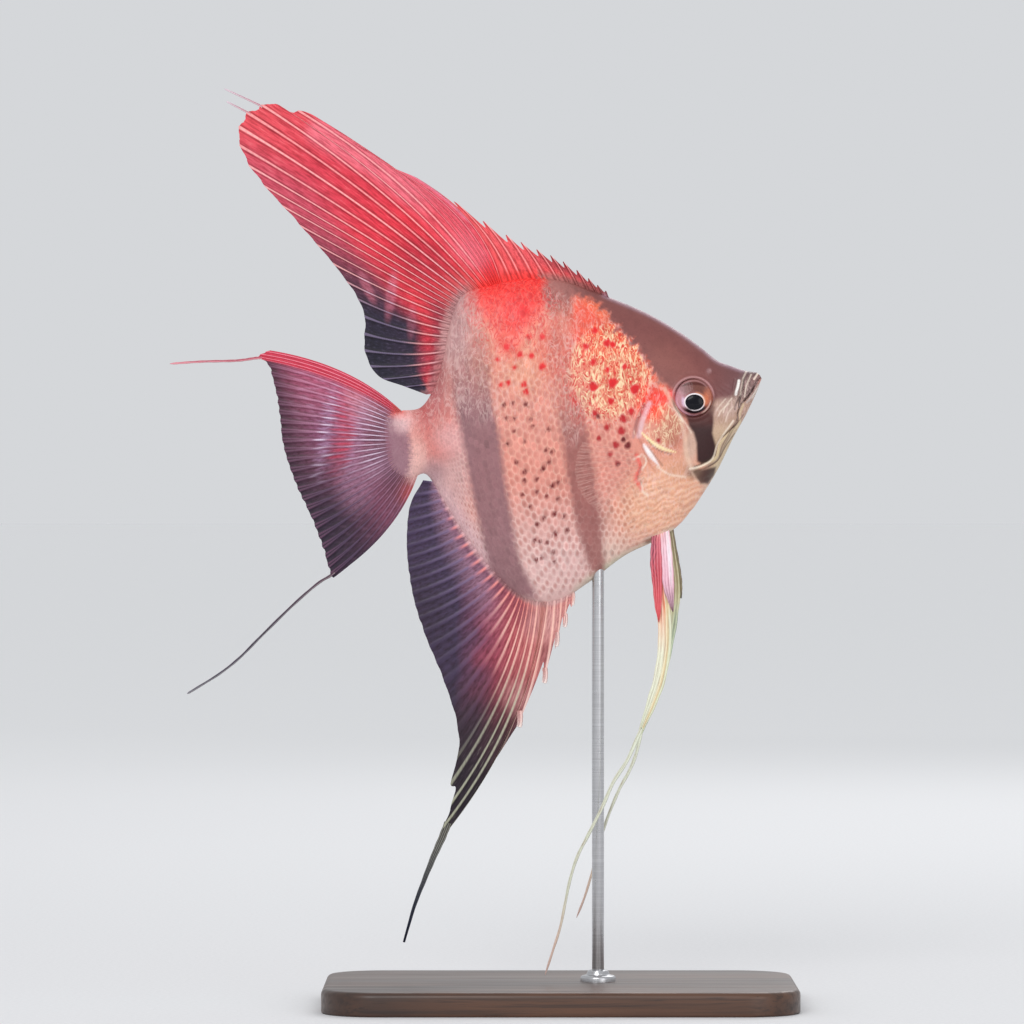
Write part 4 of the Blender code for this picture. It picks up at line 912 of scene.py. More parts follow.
def even_rays(rays, first, last, count):
    """Key-ray numbers spaced evenly by distance, measured across the fin near its root."""
    fine = np.linspace(first, last, 600)
    line = ray_points(rays, fine, np.full(600, 0.35))
    run = run_of(line)
    return np.interp(np.linspace(0, 1, count), run / run[-1], fine)


def ray_ridge(ray, v, width):
    """Height, 0 to 1, of the rays' relief. A ray lies at each half number and parts in two from
    v = 0.45 and again from v = 0.72, until the branches are a quarter of the spacing apart."""
    off = np.abs(ray % 1 - 0.5)
    off = np.abs(off - 0.25 * smooth(0.45, 1.1, v))
    off = np.abs(off - 0.125 * smooth(0.72, 1.15, v))
    return bell(off, width)


def sheet_faces(rows, columns):
    """Faces of a closed thin sheet: near side, far side and the rim that joins them."""
    near = grid_faces(rows, columns)
    far = near[:, ::-1] + rows * columns
    rim = rim_of(rows, columns)
    after = np.roll(rim, -1)
    edge = np.stack([rim, after, after + rows * columns, rim + rows * columns], -1)
    return [np.concatenate([near, far, edge])]


def sheet_piece(name, middle, half, across, ray, v, ground, rays, finish, nodes):
    """A closed thin piece about a grid of middle points, half its thickness to each side, with
    the ray number and the distance along the ray as its map named lanes."""
    rows, columns = middle.shape[:2]
    shift = half[..., None] * np.asarray(across, float)
    points = np.concatenate([(middle - shift).reshape(-1, 3), (middle + shift).reshape(-1, 3)])
    own = np.stack([np.broadcast_to(ray, (rows, columns)), np.broadcast_to(v, (rows, columns))], -1)
    a = np.broadcast_to(np.linspace(0.01, 0.99, rows)[:, None], (rows, columns))
    b = np.broadcast_to(np.linspace(0.01, 0.485, columns)[None], (rows, columns))
    flat = np.concatenate([np.stack([a, b], -1).reshape(-1, 2), np.stack([a, 1 - b], -1).reshape(-1, 2)])
    return make_piece(
        name, points, sheet_faces(rows, columns), finish, nodes,
        {"ground": np.tile(ground.reshape(-1, 3), (2, 1)), "rays": np.tile(rays.reshape(-1, 3), (2, 1))},
        {"lanes": np.tile(own.reshape(-1, 2), (2, 1)), "OFBake": flat}, crease=60,
    )


def fin_piece(
    name, rays, u, ray, fork_v, reach, rows, sway, width, paint, finish, nodes, sheath_reach=3.4,
):
    """A fin on a grid: one line of points along each value of `u`, from inside the body to the
    share `reach` of the ray. Its thickness falls from root to margin, and the rays stand up."""
    line = through(rays, u)
    length = np.linalg.norm(line[:, 2:4] - line[:, :2], axis=1)[:, None]
    share = np.linspace(0, 1, rows)[None] ** 1.08
    start = -FIN_ROOT / length
    v = start + (reach[:, None] - start) * share
    flat = ray_points(rays, np.broadcast_to(u[:, None], v.shape), v)
    x, z = flat[..., 0], flat[..., 1]
    middle = np.stack([x, sway(x, z), z], axis=-1)
    fork = v * fork_v[:, None]
    way = np.clip(v * length / FIN_THINNING, 0, 1)
    fall = smooth(0, 1, way) * 0.5 + 0.5 * way
    cap = FIN_BASE_HALF + (FIN_MARGIN_HALF - FIN_BASE_HALF) * fall
    ridge = ray_ridge(ray[:, None], fork, width)
    half = cap * (FIN_MEMBRANE + FIN_RAY * ridge)
    ground, ray_tints = paint(x, z, u[:, None] + 0 * v, v)
    sheath = smooth(sheath_reach * (1 + 0.26 * ripple(x, z, 31, 1.7)), 0.2, v * length) * 0.9
    flesh = flesh_colours(x[sheath > 0], z[sheath > 0], np.full((sheath > 0).sum(), -1.0))[0]
    for layer in (ground, ray_tints):
        layer[sheath > 0] = over(layer[sheath > 0], flesh, sheath[sheath > 0])
    return sheet_piece(
        name, middle, half, (0, 1, 0), ray[:, None], fork, ground, ray_tints, finish, nodes,
    )


def spiny_columns(spines, per_spine):
    """Columns of a spiny edge, as key-ray number and spine count with its phase as a fraction."""
    phase = np.concatenate([[0.0, 0.05, 0.10], np.linspace(0.16, 0.96, per_spine - 3)])
    count = (np.arange(len(spines) - 1)[:, None] + phase[None]).ravel()
    return np.interp(count, np.arange(len(spines)), spines), count


def spiny_reach(rays, u, count, notch):
    """The share of each ray that the membrane reaches: it falls back by `notch` behind each
    spine's tip, or nearly half of a short spine, and climbs again to the next."""
    line = through(rays, u)
    length = np.linalg.norm(line[:, 2:4] - line[:, :2], axis=1)
    phase = count % 1
    depth = np.minimum(0.5, notch * (0.5 + length / 22.0) / length)
    return 1 - 1.25 * depth * smooth(0.08, 0.5, phase) * (1 - phase) ** 0.6


def uneven_margin(ray, seed, depth):
    """A margin that is longest at the rays and notched between them, each notch its own depth."""
    draw = np.random.default_rng(seed)
    deep = draw.uniform(0.2, 1.0, int(ray.max()) + 4)[(ray + 0.5).astype(int)]
    between = np.sin(np.pi * ((ray - 0.5) % 1)) ** 2
    fine = 0.35 * np.abs(np.sin(ray * 4 * np.pi))
    return 1 - depth * (deep * between + fine * 0.5)


def ramp(v, *stops):
    """Colours read between stops given as (place, red, green, blue)."""
    places = [s[0] for s in stops]
    tints = np.array([tint(*s[1:]) for s in stops])
    return np.stack([np.interp(v, places, tints[:, k]) for k in range(3)], -1)


def uneven_rays(u):
    """Some rays paler than others: a beat of two waves over the ray numbers."""
    return 0.76 + 0.24 * np.sin(u * 23.0) * np.sin(u * 7.3 + 1.0)


def paint_dorsal(x, z, u, v):
    """Red with pink rays in front; behind key ray 12 mauve at the root and navy at the margin."""
    front = near_share(x, z, ((-21.0, 187.0), (-35.0, 201.4), (-47.0, 210.4), (-60.0, 218.0)), 5.2)
    pale = np.maximum(
        patch(x, z, (-42.2, 177.6), (1.2, 5.8), -8, 0.5), patch(x, z, (-48.2, 179.4), (1.1, 4.0), 25, 0.5),
    )
    pale = np.maximum(pale, 0.6 * patch(x, z, (-37.0, 171.0), (1.1, 4.2), -5, 0.5))
    ground = ramp(
        v, (0, 250, 66, 70), (0.2, 248, 54, 68), (0.45, 228, 54, 72), (0.7, 222, 62, 80), (1, 234, 82, 92),
    )
    ground = layers(ground, (
        (232, 86, 104, smooth(8.6, 4.6, u) * smooth(0.25, 0.6, v)),
        (178, 36, 58, -33, 186, 9, 5, -35, 0.6, 0.7),
        (176, 30, 52, -39.6, 183, 6.4, 5, -35, 0.8, 0.45),
        (86, 68, 92, -35.6, 161, 2.6, 3.6, 0, 0.8, 0.5),
        (250, 126, 142, front * (0.7 - 0.4 * patch(x, z, (-31, 195), (6, 6), 0, 0.8))),
        (196, 76, 98, smooth(11.2, 13.2, u) * smooth(0.5, 0.8, v) * 0.8),
        (104, 48, 68, smooth(13.2, 15.2, u) * smooth(0.36, 0.7, v)),
        (124, 42, 62, smooth(12.5, 15, u) * smooth(0.34, 0.1, v) * 0.8),
        (42, 31, 53, smooth(14.6, 16, u) * smooth(0.16, 0.44, v)),
        (27, 24, 42, smooth(15.5, 17, u) * smooth(0.5, 0.9, v)), (214, 116, 136, pale * 0.45),
        (246, 92, 92, smooth(5.2, 4.4, u) * 0.7),
        (120, 34, 44, smooth(2.6, 1.2, u) * smooth(0.2, 0.6, v) * 0.7),
        (186, 104, 106, smooth(0.14, 0, v) * smooth(9, 12, u) * 0.6),
    ), x, z)
    rays = layers(ground, (
        (254, 184, 182, uneven_rays(u)), (236, 120, 134, smooth(8.6, 7.4, u) * smooth(4.8, 5.4, u) * 0.75),
        (250, 196, 202, smooth(0.3, 0.1, v) * smooth(10, 13, u) * 0.8), (242, 200, 214, pale),
        (104, 96, 124, smooth(14.6, 16, u) * smooth(0.30, 0.6, v) * 0.95),
        (255, 150, 150, smooth(5.2, 4.4, u) * 0.8),
        (244, 216, 212, smooth(4.4, 3, u) * smooth(0.75, 1, v)),
    ))
    last_spine = smooth(5.5, 5.1, u) * smooth(0.45, 0.6, v) * smooth(4.9, 5.05, u)
    return over(ground, tint(246, 150, 176), last_spine * 0.7), rays


def paint_anal(x, z, u, v):
    """Navy and lilac behind a slanting line down the fin, rose and pink in front of it."""
    ahead = x + 20.0 + (112.0 - z) * 0.02 + 1.2 * ripple(x, z, 51, 9.0)
    low = smooth(90, 66, z)
    flame = smooth(0.26, 0.04, v) * smooth(-4, -10, x) * smooth(-31, -26, x)
    ground = ramp(
        ahead, (-6, 68, 54, 82), (-1, 106, 64, 90), (4, 168, 74, 92), (9, 196, 92, 100),
        (14, 226, 134, 130), (22, 230, 156, 150),
    )
    ground = layers(ground, (
        (50, 39, 48, low * 0.92), (36, 28, 40, smooth(68, 52, z) * 0.85),
        (178, 138, 162, smooth(0.55, 0.12, v) * smooth(-12, -20, x) * 0.7),
        (160, 96, 98, -2.6, 87.6, 3.2, 3.6, 0, 0.6, 0.7),
        (240, 186, 180, -4, 96, 4.4, 4.4, 0, 0.7, 0.6),
        (222, 162, 158, -10.8, 77.2, 3, 3.4, 0, 0.8, 0.6),
        (40, 32, 38, -34, 98, 6, 12, 20, 0.9, 0.4),
        (122, 66, 92, flame * smooth(0, 0.06, v) * 0.5),
    ), x, z)
    rays = layers(ground, (
        (254, 210, 192, uneven_rays(u) * smooth(1, 9, ahead) * (1 - 0.7 * low)),
        (116, 98, 132, smooth(3, -3, ahead) * smooth(1, 0.3, v) * 0.75),
        (184, 184, 160, smooth(92, 74, z) * smooth(11, 8, u) * smooth(4.6, 5.2, u) * 0.85),
        (252, 150, 142, flame * 0.9), (244, 212, 204, smooth(4.4, 3.8, u) * smooth(0.5, 0.9, v)),
    ))
    return ground, rays


def paint_caudal(x, z, u, v):
    """Mauve, rosier above and darker below, with broken pale and red bars across the rays."""
    strength = 0.55 + 0.45 * np.sin(u * 29.0 + 2.0)
    bar_x = x + 0.9 * np.sin(u * 41.0) + 0.7 * np.sin(u * 17.3 + 1.0)
    cloud = ripple(x * 0.6, z * 1.7, 71, 2.4)
    pale = np.maximum(
        patch(bar_x, z, (-58.4, 144.0), (1.3, 11.0), -10, 0.6),
        patch(bar_x, z, (-50.6, 142.0), (1.2, 10.0), -14, 0.6) * 0.7,
    ) * (0.5 + 0.5 * strength)
    near = patch(x, z, (-46.8, 142.0), (3.4, 8.6), -6, 0.6)
    ground = ramp(
        v, (0, 168, 120, 132), (0.16, 134, 84, 102), (0.4, 168, 94, 122), (0.7, 140, 80, 106),
        (1, 56, 30, 46),
    )
    ground = layers(ground, (
        (196, 92, 124, smooth(4.4, 2, u) * smooth(0.15, 0.4, v) * smooth(1.05, 0.7, v) * 0.6),
        (36, 27, 47, smooth(3.8, 7.5, u) * (0.4 + 0.5 * smooth(0.2, 0.8, v))),
        (206, 58, 82, patch(bar_x, z, (-54, 144), (2.4, 10), -8, 0.6) * strength * 0.75),
        (208, 146, 162, -48.4, 149.4, 3.8, 4.2, 0, 0.7, 0.65),
        (166, 122, 148, -51, 130, 4.4, 6, 0, 0.7, 0.55),
        (200, 152, 184, smooth(0.1, 1, cloud) * smooth(1, 0.7, v) * (0.34 - 0.28 * smooth(3.5, 5.5, u))),
        (88, 50, 76, smooth(-0.1, -1, cloud) * (0.22 - 0.2 * smooth(3.5, 5.5, u))),
        (126, 70, 104, -59.4, 143.4, 3.6, 4.8, 0, 0.8, 0.5),
        (228, 158, 174, -51.2, 153.2, 2.6, 2.6, 0, 0.8, 0.5),
        (192, 152, 180, -46, 135.6, 4, 3.6, 0, 0.8, 0.4),
        (190, 60, 86, smooth(2.8, 1, u) * smooth(0.95, 0.5, v + 0.25 * (u - 1))),
        (216, 56, 82, smooth(1.75, 1.35, u)),
        (206, 88, 80, smooth(7.5, 10, u) * smooth(0.30, 0.12, v) * 0.7),
    ), x, z)
    rays = layers(ground, (
        (214, 160, 188, 0.75 * uneven_rays(u) * smooth(1.2, 0.4, v) * (1 - 0.45 * smooth(3.6, 6.5, u))),
        (236, 220, 242, np.maximum(pale, near * (0.45 + 0.55 * strength)) * 0.95),
        (255, 146, 164, smooth(1.75, 1.35, u) * 0.9),
        (70, 54, 80, smooth(4, 7.5, u) * smooth(0.15, 0.6, v) * 0.85),
        (104, 66, 88, smooth(0.8, 1, v) * smooth(1.7, 2.4, u) * 0.7),
    ))
    return layers(ground, (
        (112, 70, 92, near * (1 - strength) * 0.8), (176, 140, 176, pale * 0.6),
    )), rays


def spiny_fin(
    name, rays, spines, per_spine, soft_rays, notch, margin, soft_fork, rows, sway, width, paint,
    finish, nodes, sheath_reach=3.4,
):
    """A fin with spines in front, `per_spine` columns each, and forking soft rays behind them."""
    spiny_u, count = spiny_columns(spines, per_spine)
    soft = np.arange(soft_rays * PER_RAY + 1) / PER_RAY
    soft_u = even_rays(rays, spines[-1], len(rays) - 1, len(soft))
    ray = np.concatenate([count + 0.5, soft + len(spines) - 0.5])
    reach = np.concatenate([spiny_reach(rays, spiny_u, count, notch), uneven_margin(soft + 0.5, *margin)])
    reach[len(count)] = 1.0
    fork = np.concatenate([np.full(len(count), SPINE_FORK), np.full(len(soft), soft_fork)])
    return fin_piece(
        name, rays, np.concatenate([spiny_u, soft_u]), ray, fork, reach, rows, sway, width, paint,
        finish, nodes, sheath_reach,
    )


def caudal_piece(finish):
    """The tail fin: four close rays along its upper edge, then twenty-four spread ones."""
    upper, count = 4, 24
    steps = np.arange(count * PER_RAY + 1) / PER_RAY
    upper_u = np.linspace(0, 1.7, upper * PER_RAY + 1)
    lower_u = even_rays(CAUDAL_RAYS, 1.7, len(CAUDAL_RAYS) - 1, len(steps))
    u = np.concatenate([upper_u[:-1], lower_u])
    ray = np.arange(len(u)) / PER_RAY
    reach = uneven_margin(ray, 23, 0.012)
    fork = np.where(ray < upper, 0.3, 0.85)
    return fin_piece(
        "tail_fan", CAUDAL_RAYS, u, ray, fork, reach, 110, sway_caudal, 0.15, paint_caudal,
        finish, ("caudal_fin",),
    )


# The pelvic fins: x, z and width down the middle line of each of their blades and strands.
PELVIC_RIGHT = (
    (24.6, 120.6, 2), (25, 112, 3.4), (25.4, 104.5, 3.8), (26, 97, 3.6),
    (26, 89.5, 3.5), (24.8, 82, 3.2), (22.8, 75.8, 2.7), (19.8, 68.2, 1),
)
PELVIC_LEFT = (
    (26.8, 120.8, 2), (27.8, 112, 3), (28.6, 104.5, 3.2), (28.1, 97, 3.1),
    (26.9, 89.5, 2.9), (25.3, 82, 2.5), (23.4, 75.8, 2.2), (20.4, 67.9, 0.9),
)
PELVIC_BLADE_RIGHT = (
    (24.2, 120.6, 2), (23.9, 115.4, 2.5), (23.9, 110.5, 3), (24.2, 105, 2.4), (24.4, 99.8, 1.7),
    (24.6, 95.8, 0.2),
)
PELVIC_FRONT_RIGHT = (
    (26, 121, 2.2), (26.3, 116.4, 2.6), (26.7, 110.5, 2.9), (27, 105.2, 2.9), (27.6, 101.2, 1.6),
    (28.1, 98.4, 0.3),
)
PELVIC_BLADE_LEFT = (
    (27.6, 120.8, 1), (28.3, 116, 1.3), (29.1, 110.5, 1.8), (29.7, 106.2, 1.9), (30.1, 103.4, 1.2),
    (30.4, 101.6, 0.3),
)
ANAL_STREAMER = (
    (-28, 45.5, 1.9), (-29.5, 41.7, 1.9), (-31.6, 37, 1.6), (-34.1, 30.8, 1.2), (-36.5, 24.4, 0.9),
    (-39.1, 15.4, 0.6),
)
# The threads that run on from the fins: x and z down each thread.
PELVIC_THREAD_RIGHT = (
    (20.2, 69.4), (19.8, 68.4), (16.7, 61.5), (13.2, 56), (10.3, 49.5), (6.7, 42.4), (4.2, 37.4),
    (2.4, 31.6), (1.2, 25.8), (0, 20), (-1.8, 14.2), (-3.8, 8),
)
PELVIC_THREAD_LEFT = (
    (20.9, 69), (20.4, 67.9), (19.1, 62.4), (17.3, 58), (14.9, 53.6), (12.3, 47.4), (10.6, 42.4),
    (9.4, 38.2), (8.2, 33.2), (6.3, 26.8), (4.2, 21.4),
)
CAUDAL_THREAD_UPPER = ((-74.6, 161.9), (-76.3, 161.8), (-81.2, 161.2), (-90.0, 161.0), (-98.0, 160.5))
CAUDAL_THREAD_LOWER = (
    (-56.4, 108.2), (-57.6, 107.2), (-60.8, 105.2), (-66.9, 99.9), (-75, 92), (-80.2, 86.8), (-85.2, 82.8),
    (-91.6, 78.8), (-93.6, 77.6),
)
DORSAL_THREAD_UPPER = ((-74.2, 224.2), (-75.6, 225.0), (-83.8, 228.8))
DORSAL_THREAD_LOWER = ((-77.2, 222.5), (-78.9, 223.4), (-83.2, 225.6))
THREAD_RADIUS = 0.27


def ribbon_piece(name, ribbon, depth, thickness, strands, paint, finish, nodes, rows=150, columns=41):
    """A flat ribbon down its middle line with a few strands raised along it; its edges thin out
    and waver a little."""
    line = through(ribbon, np.linspace(0, len(ribbon) - 1, rows))
    slope = unit(np.gradient(line[:, :2], axis=0))
    square = np.stack([-slope[:, 1], slope[:, 0]], axis=1)
    across = np.linspace(-0.5, 0.5, columns)[None]
    down = np.linspace(0, 1, rows)[:, None]
    waver = 1 - 0.035 * (1 + np.sin(down * 46 + np.sign(across) * 1.7)) * (2 * np.abs(across)) ** 3
    flat = line[:, None, :2] + square[:, None] * (line[:, None, 2:3] * (across * waver)[..., None])
    middle = np.stack([flat[..., 0], depth(flat[..., 0], flat[..., 1]), flat[..., 1]], axis=-1)
    ray = (across + 0.5) * strands + 0 * down
    ridge = ray_ridge(ray, 0 * ray, 0.2)
    half = thickness / 2 * (1 - 1.1 * across**2) * (0.55 + 0.42 * ridge)
    ground, tints = paint(across + 0 * down, down + 0 * across)
    return sheet_piece(name, middle, half, (0, 1, 0), ray, 0.3 * down, ground, tints, finish, nodes)


def thread_piece(name, route, depth, start, end, stops, finish, nodes, steps=120, around=10):
    """A round thread along a route: its radius runs from `start` to `end` times the common one,
    and its last twentieth narrows to a point."""
    line = through(route, np.linspace(0, len(route) - 1, steps))
    middle = np.stack([line[:, 0], depth(line[:, 0], line[:, 1]), line[:, 1]], axis=-1)
    ahead = unit(np.gradient(middle, axis=0))
    one = unit(np.cross(ahead, (0, 1, 0)))
    two = np.cross(ahead, one)
    share = np.linspace(0, 1, steps)
    radius = THREAD_RADIUS * (start + (end - start) * share) * (1 + 0.07 * np.sin(share * 60))
    radius *= np.sqrt(np.clip((1.002 - share) / 0.05, 0.0004, 1))
    turn = full_turn(around)
    ring = one[:, None] * np.cos(turn)[None, :, None] + two[:, None] * np.sin(turn)[None, :, None]
    points = (middle[:, None] + ring * radius[:, None, None]).reshape(-1, 3)
    tints = np.repeat(ramp(share, *stops), around, axis=0)
    own = np.stack([np.tile(turn * 0.5, steps), np.repeat(share, around)], -1)
    return make_piece(
        name, points, closed_rings(steps, around), finish, nodes,
        {"ground": tints, "rays": over(tints, tint(255, 250, 240), np.full(len(tints), 0.25))},
        {"lanes": own},
    )


def painted(stops, ray_tint, ray_share, marks=lambda across, down: ()):
    """A ribbon's colouring: stops down it, marks laid over them, and the strands' own tint."""
    def paint(across, down):
        """Ground and strand colours at shares across the ribbon and down it."""
        ground = layers(ramp(down, *stops), marks(across, down), across, down)
        share = ray_share(down) if callable(ray_share) else ray_share
        return ground, over(ground, tint(*ray_tint), share + 0 * down)
    return paint


PAINT_PELVIC_RIGHT = painted(
    ((0, 230, 140, 140), (0.3, 244, 150, 132), (0.42, 248, 194, 160), (0.6, 238, 240, 212),
     (1, 222, 232, 208)),
    (255, 250, 232), 0.45, lambda across, down: (
        (236, 214, 164, smooth(-0.05, 0.15, across) * smooth(0.28, 0.36, down)),
        (214, 222, 188, smooth(0.20, 0.34, across) * smooth(0.36, 0.44, down)),
        (240, 120, 70, 0.06, 0.36, 0.05, 0.05, 0, 0.6, 0.8),
    ),
)


def blade_marks(across, down):
    """A darker upper corner, and dark wrinkles where two crossing waves meet."""
    wrinkle = smooth(0.1, 0.8, np.sin(across * 30 + 5 * np.sin(down * 19)) * np.sin(down * 34 + across * 9))
    upper = smooth(0.02, 0.12, down) * smooth(0.7, 0.45, down) * smooth(0.3, -0.1, across)
    return (
        (140, 56, 84, smooth(0.5, 0.2, down) * smooth(0.15, -0.35, across) * 0.6),
        (96, 34, 60, wrinkle * upper * 0.9),
    )


PAINT_BLADE_RIGHT = painted(
    ((0, 226, 150, 150), (0.2, 214, 110, 124), (0.5, 206, 76, 88), (0.8, 226, 86, 92), (1, 236, 100, 96)),
    (250, 170, 180), 0.4, blade_marks,
)
PAINT_FRONT_RIGHT = painted(
    ((0, 232, 172, 182), (0.25, 248, 208, 218), (0.55, 240, 186, 202), (0.75, 190, 146, 164),
     (1, 140, 104, 118)),
    (255, 222, 232), 0.5, lambda across, down: ((255, 246, 252, 0.22, 0.3, 0.16, 0.3, 0, 0.5, 1),),
)
PAINT_BLADE_LEFT = painted(
    ((0, 130, 108, 96), (0.3, 136, 118, 100), (0.7, 152, 140, 112), (0.86, 112, 104, 88), (1, 36, 38, 42)),
    (214, 206, 172), 0.4, lambda across, down: ((84, 70, 66, smooth(0.25, 0.5, np.abs(across)) * 0.6),),
)
PAINT_PELVIC_LEFT = painted(
    ((0, 150, 140, 108), (0.3, 196, 192, 146), (0.4, 228, 232, 190), (0.55, 222, 238, 208),
     (1, 218, 230, 206)),
    (246, 244, 214), 0.55, lambda across, down: (
        (176, 204, 176, smooth(0, 0.3, across) * smooth(0.34, 0.44, down) * 0.8),
    ),
)
PAINT_STREAMER = painted(
    ((0, 92, 88, 82), (0.3, 98, 98, 96), (0.7, 60, 66, 82), (1, 44, 50, 72)),
    (186, 190, 176), lambda down: 0.55 * smooth(1, 0.3, down),
)
# Colours down the threads: where each stands, as a share of the length, and its red, green, blue.
BARE = ((0, 240, 180, 172), (0.5, 252, 214, 206), (1, 255, 240, 234))
PALE = ((0, 224, 232, 208), (0.7, 210, 214, 190), (0.86, 214, 184, 164), (1, 196, 148, 136))
ROSY = ((0, 222, 110, 130), (0.5, 216, 120, 136), (1, 226, 120, 140))
DUSKY = ((0, 112, 84, 100), (0.5, 74, 66, 84), (1, 70, 68, 92))
BLUSH = ((0, 240, 170, 176), (1, 214, 190, 206))


# Free tips of the anal fin's short spines: x and z where each spine ends.
ANAL_TIPS = ((2.9, 100.9), (1.0, 95.4), (-1.1, 90.6), (-4.1, 81.4), (-10.4, 70.4))


def tip_pieces(finish):
    """Short pale fingers along the fin's front edge, each leaning a little forward."""
    for number, (x, z) in enumerate(ANAL_TIPS):
        length = 2.2 + 0.25 * number
        leans = ((0.30, length), (0.42, 0.5 * length), (0.30, -0.2), (0.12, -1.0))
        thread_piece(
            f"anal_spine_tip_{number + 1}", [(x + ahead, z + up) for ahead, up in leans], sway_anal,
            1.9 + 0.2 * number, 1.75 + 0.2 * number, BARE, finish, ("anal_fin_spines",), 16,
        )


# The pectoral fins: top and foot of the upright base, length and the fan's limits in degrees.
PECTORAL_TOP, PECTORAL_FOOT = np.array((19.6, 138.6)), np.array((20.0, 130.8))
PECTORAL_LENGTH = 17.0
PECTORAL_FAN = (8.0, -32.0)
PECTORAL_SPLAY = math.radians(24.0)
PECTORAL_RAYS = 12


def pectoral_piece(name, side, finish, node):
    """A fan of rays from an upright base on the flank, spread aft and standing a little out."""
    u = np.linspace(0, 1, PECTORAL_RAYS * 9 + 1)[:, None]
    share = np.linspace(0, 1, 60)[None]
    angle = np.radians(PECTORAL_FAN[0] + (PECTORAL_FAN[1] - PECTORAL_FAN[0]) * u)
    length = PECTORAL_LENGTH * (0.80 + 0.34 * np.sin(np.pi * (0.12 + 0.72 * u)) - 0.16 * u)
    ray = u * PECTORAL_RAYS
    out = -1.2 + (length * (1 - 0.02 * np.sin(np.pi * ray) ** 2) + 1.15) * share
    root_x = PECTORAL_TOP[0] + (PECTORAL_FOOT[0] - PECTORAL_TOP[0]) * u
    root_z = PECTORAL_TOP[1] + (PECTORAL_FOOT[1] - PECTORAL_TOP[1]) * u
    x = root_x - out * np.cos(angle) * math.cos(PECTORAL_SPLAY)
    z = root_z + out * np.sin(angle)
    y = side * (7.6 + out * math.sin(PECTORAL_SPLAY) * np.cos(angle))
    middle = np.stack([x, y, z], axis=-1)
    ridge = ray_ridge(ray + 0 * share, share + 0 * u, 0.13)
    half = 0.20 * (0.30 + 0.6 * ridge) * (1 - 0.35 * share)
    ground = tint(236, 186, 172) + np.zeros((*x.shape, 3))
    rays = tint(244, 200, 186) + np.zeros((*x.shape, 3))
    across = (math.sin(PECTORAL_SPLAY), side * math.cos(PECTORAL_SPLAY), 0)
    return sheet_piece(name, middle, half, across, ray, share, ground, rays, finish, (node,))


# ---------------------------------------------------------------- pieces: eyes
PUPIL_SHIFT = (0.3, -1.15)
BALL_RADIUS, BALL_MIDDLE, BALL_RISE = 4.95, 5.2, 2.56  # rim, distance of its plane, dome's height
# Rolls (+) and dishes (-) turned into the ball's front: radius, half width, height.
EYE_ROLLS = ((3.35, 0.75, -0.20), (2.36, 0.2, 0.10), (4.4, 0.25, 0.10), (2.08, 0.12, -0.10))


def eye_piece(name, side, finish, node):
    """An eyeball of rings round a line across the fish: the pupil's low dome, a raised ring, a
    dished iris with fine spokes, a rolled rim, then the ball's hidden back. The rings' middles
    move from the socket's middle at the rim to the pupil's."""
    front = np.linspace(0.03, BALL_RADIUS, 84)
    back = np.radians(np.linspace(8, 86, 9))
    radius = np.concatenate([front, BALL_RADIUS * np.cos(back)])
    ball = BALL_MIDDLE + BALL_RISE * np.sqrt(np.clip(1 - (front / 5.0) ** 2, 0, 1))
    for place, width, height in EYE_ROLLS:
        ball += height * bell(front - place, width)
    depth = np.concatenate([ball, BALL_MIDDLE - 2.5 * np.sin(back)])
    count, around = len(radius), 112
    turn = full_turn(around)
    r, theta = np.broadcast_arrays(radius[:, None], turn[None])
    shift = smooth(4.7, 2.3, radius)[:, None]
    x = EYE[0] + PUPIL_SHIFT[0] * shift + r * np.cos(theta) * (1 + 0.04 * shift)
    z = EYE[1] + PUPIL_SHIFT[1] * shift + r * np.sin(theta) * (1 - 0.13 * shift)
    spokes = 0.018 * np.sin(theta * 46 + 2 * np.sin(theta * 5)) * smooth(2.6, 3.0, r) * smooth(4.2, 3.9, r)
    y = side * (depth[:, None] + spokes)
    points = np.stack([x, y, z], axis=-1).reshape(-1, 3)
    return make_piece(
        name, points, closed_rings(count, around), finish, (node,),
        {"ground": eye_colours(r, theta)}, flat_ends=True,
    )


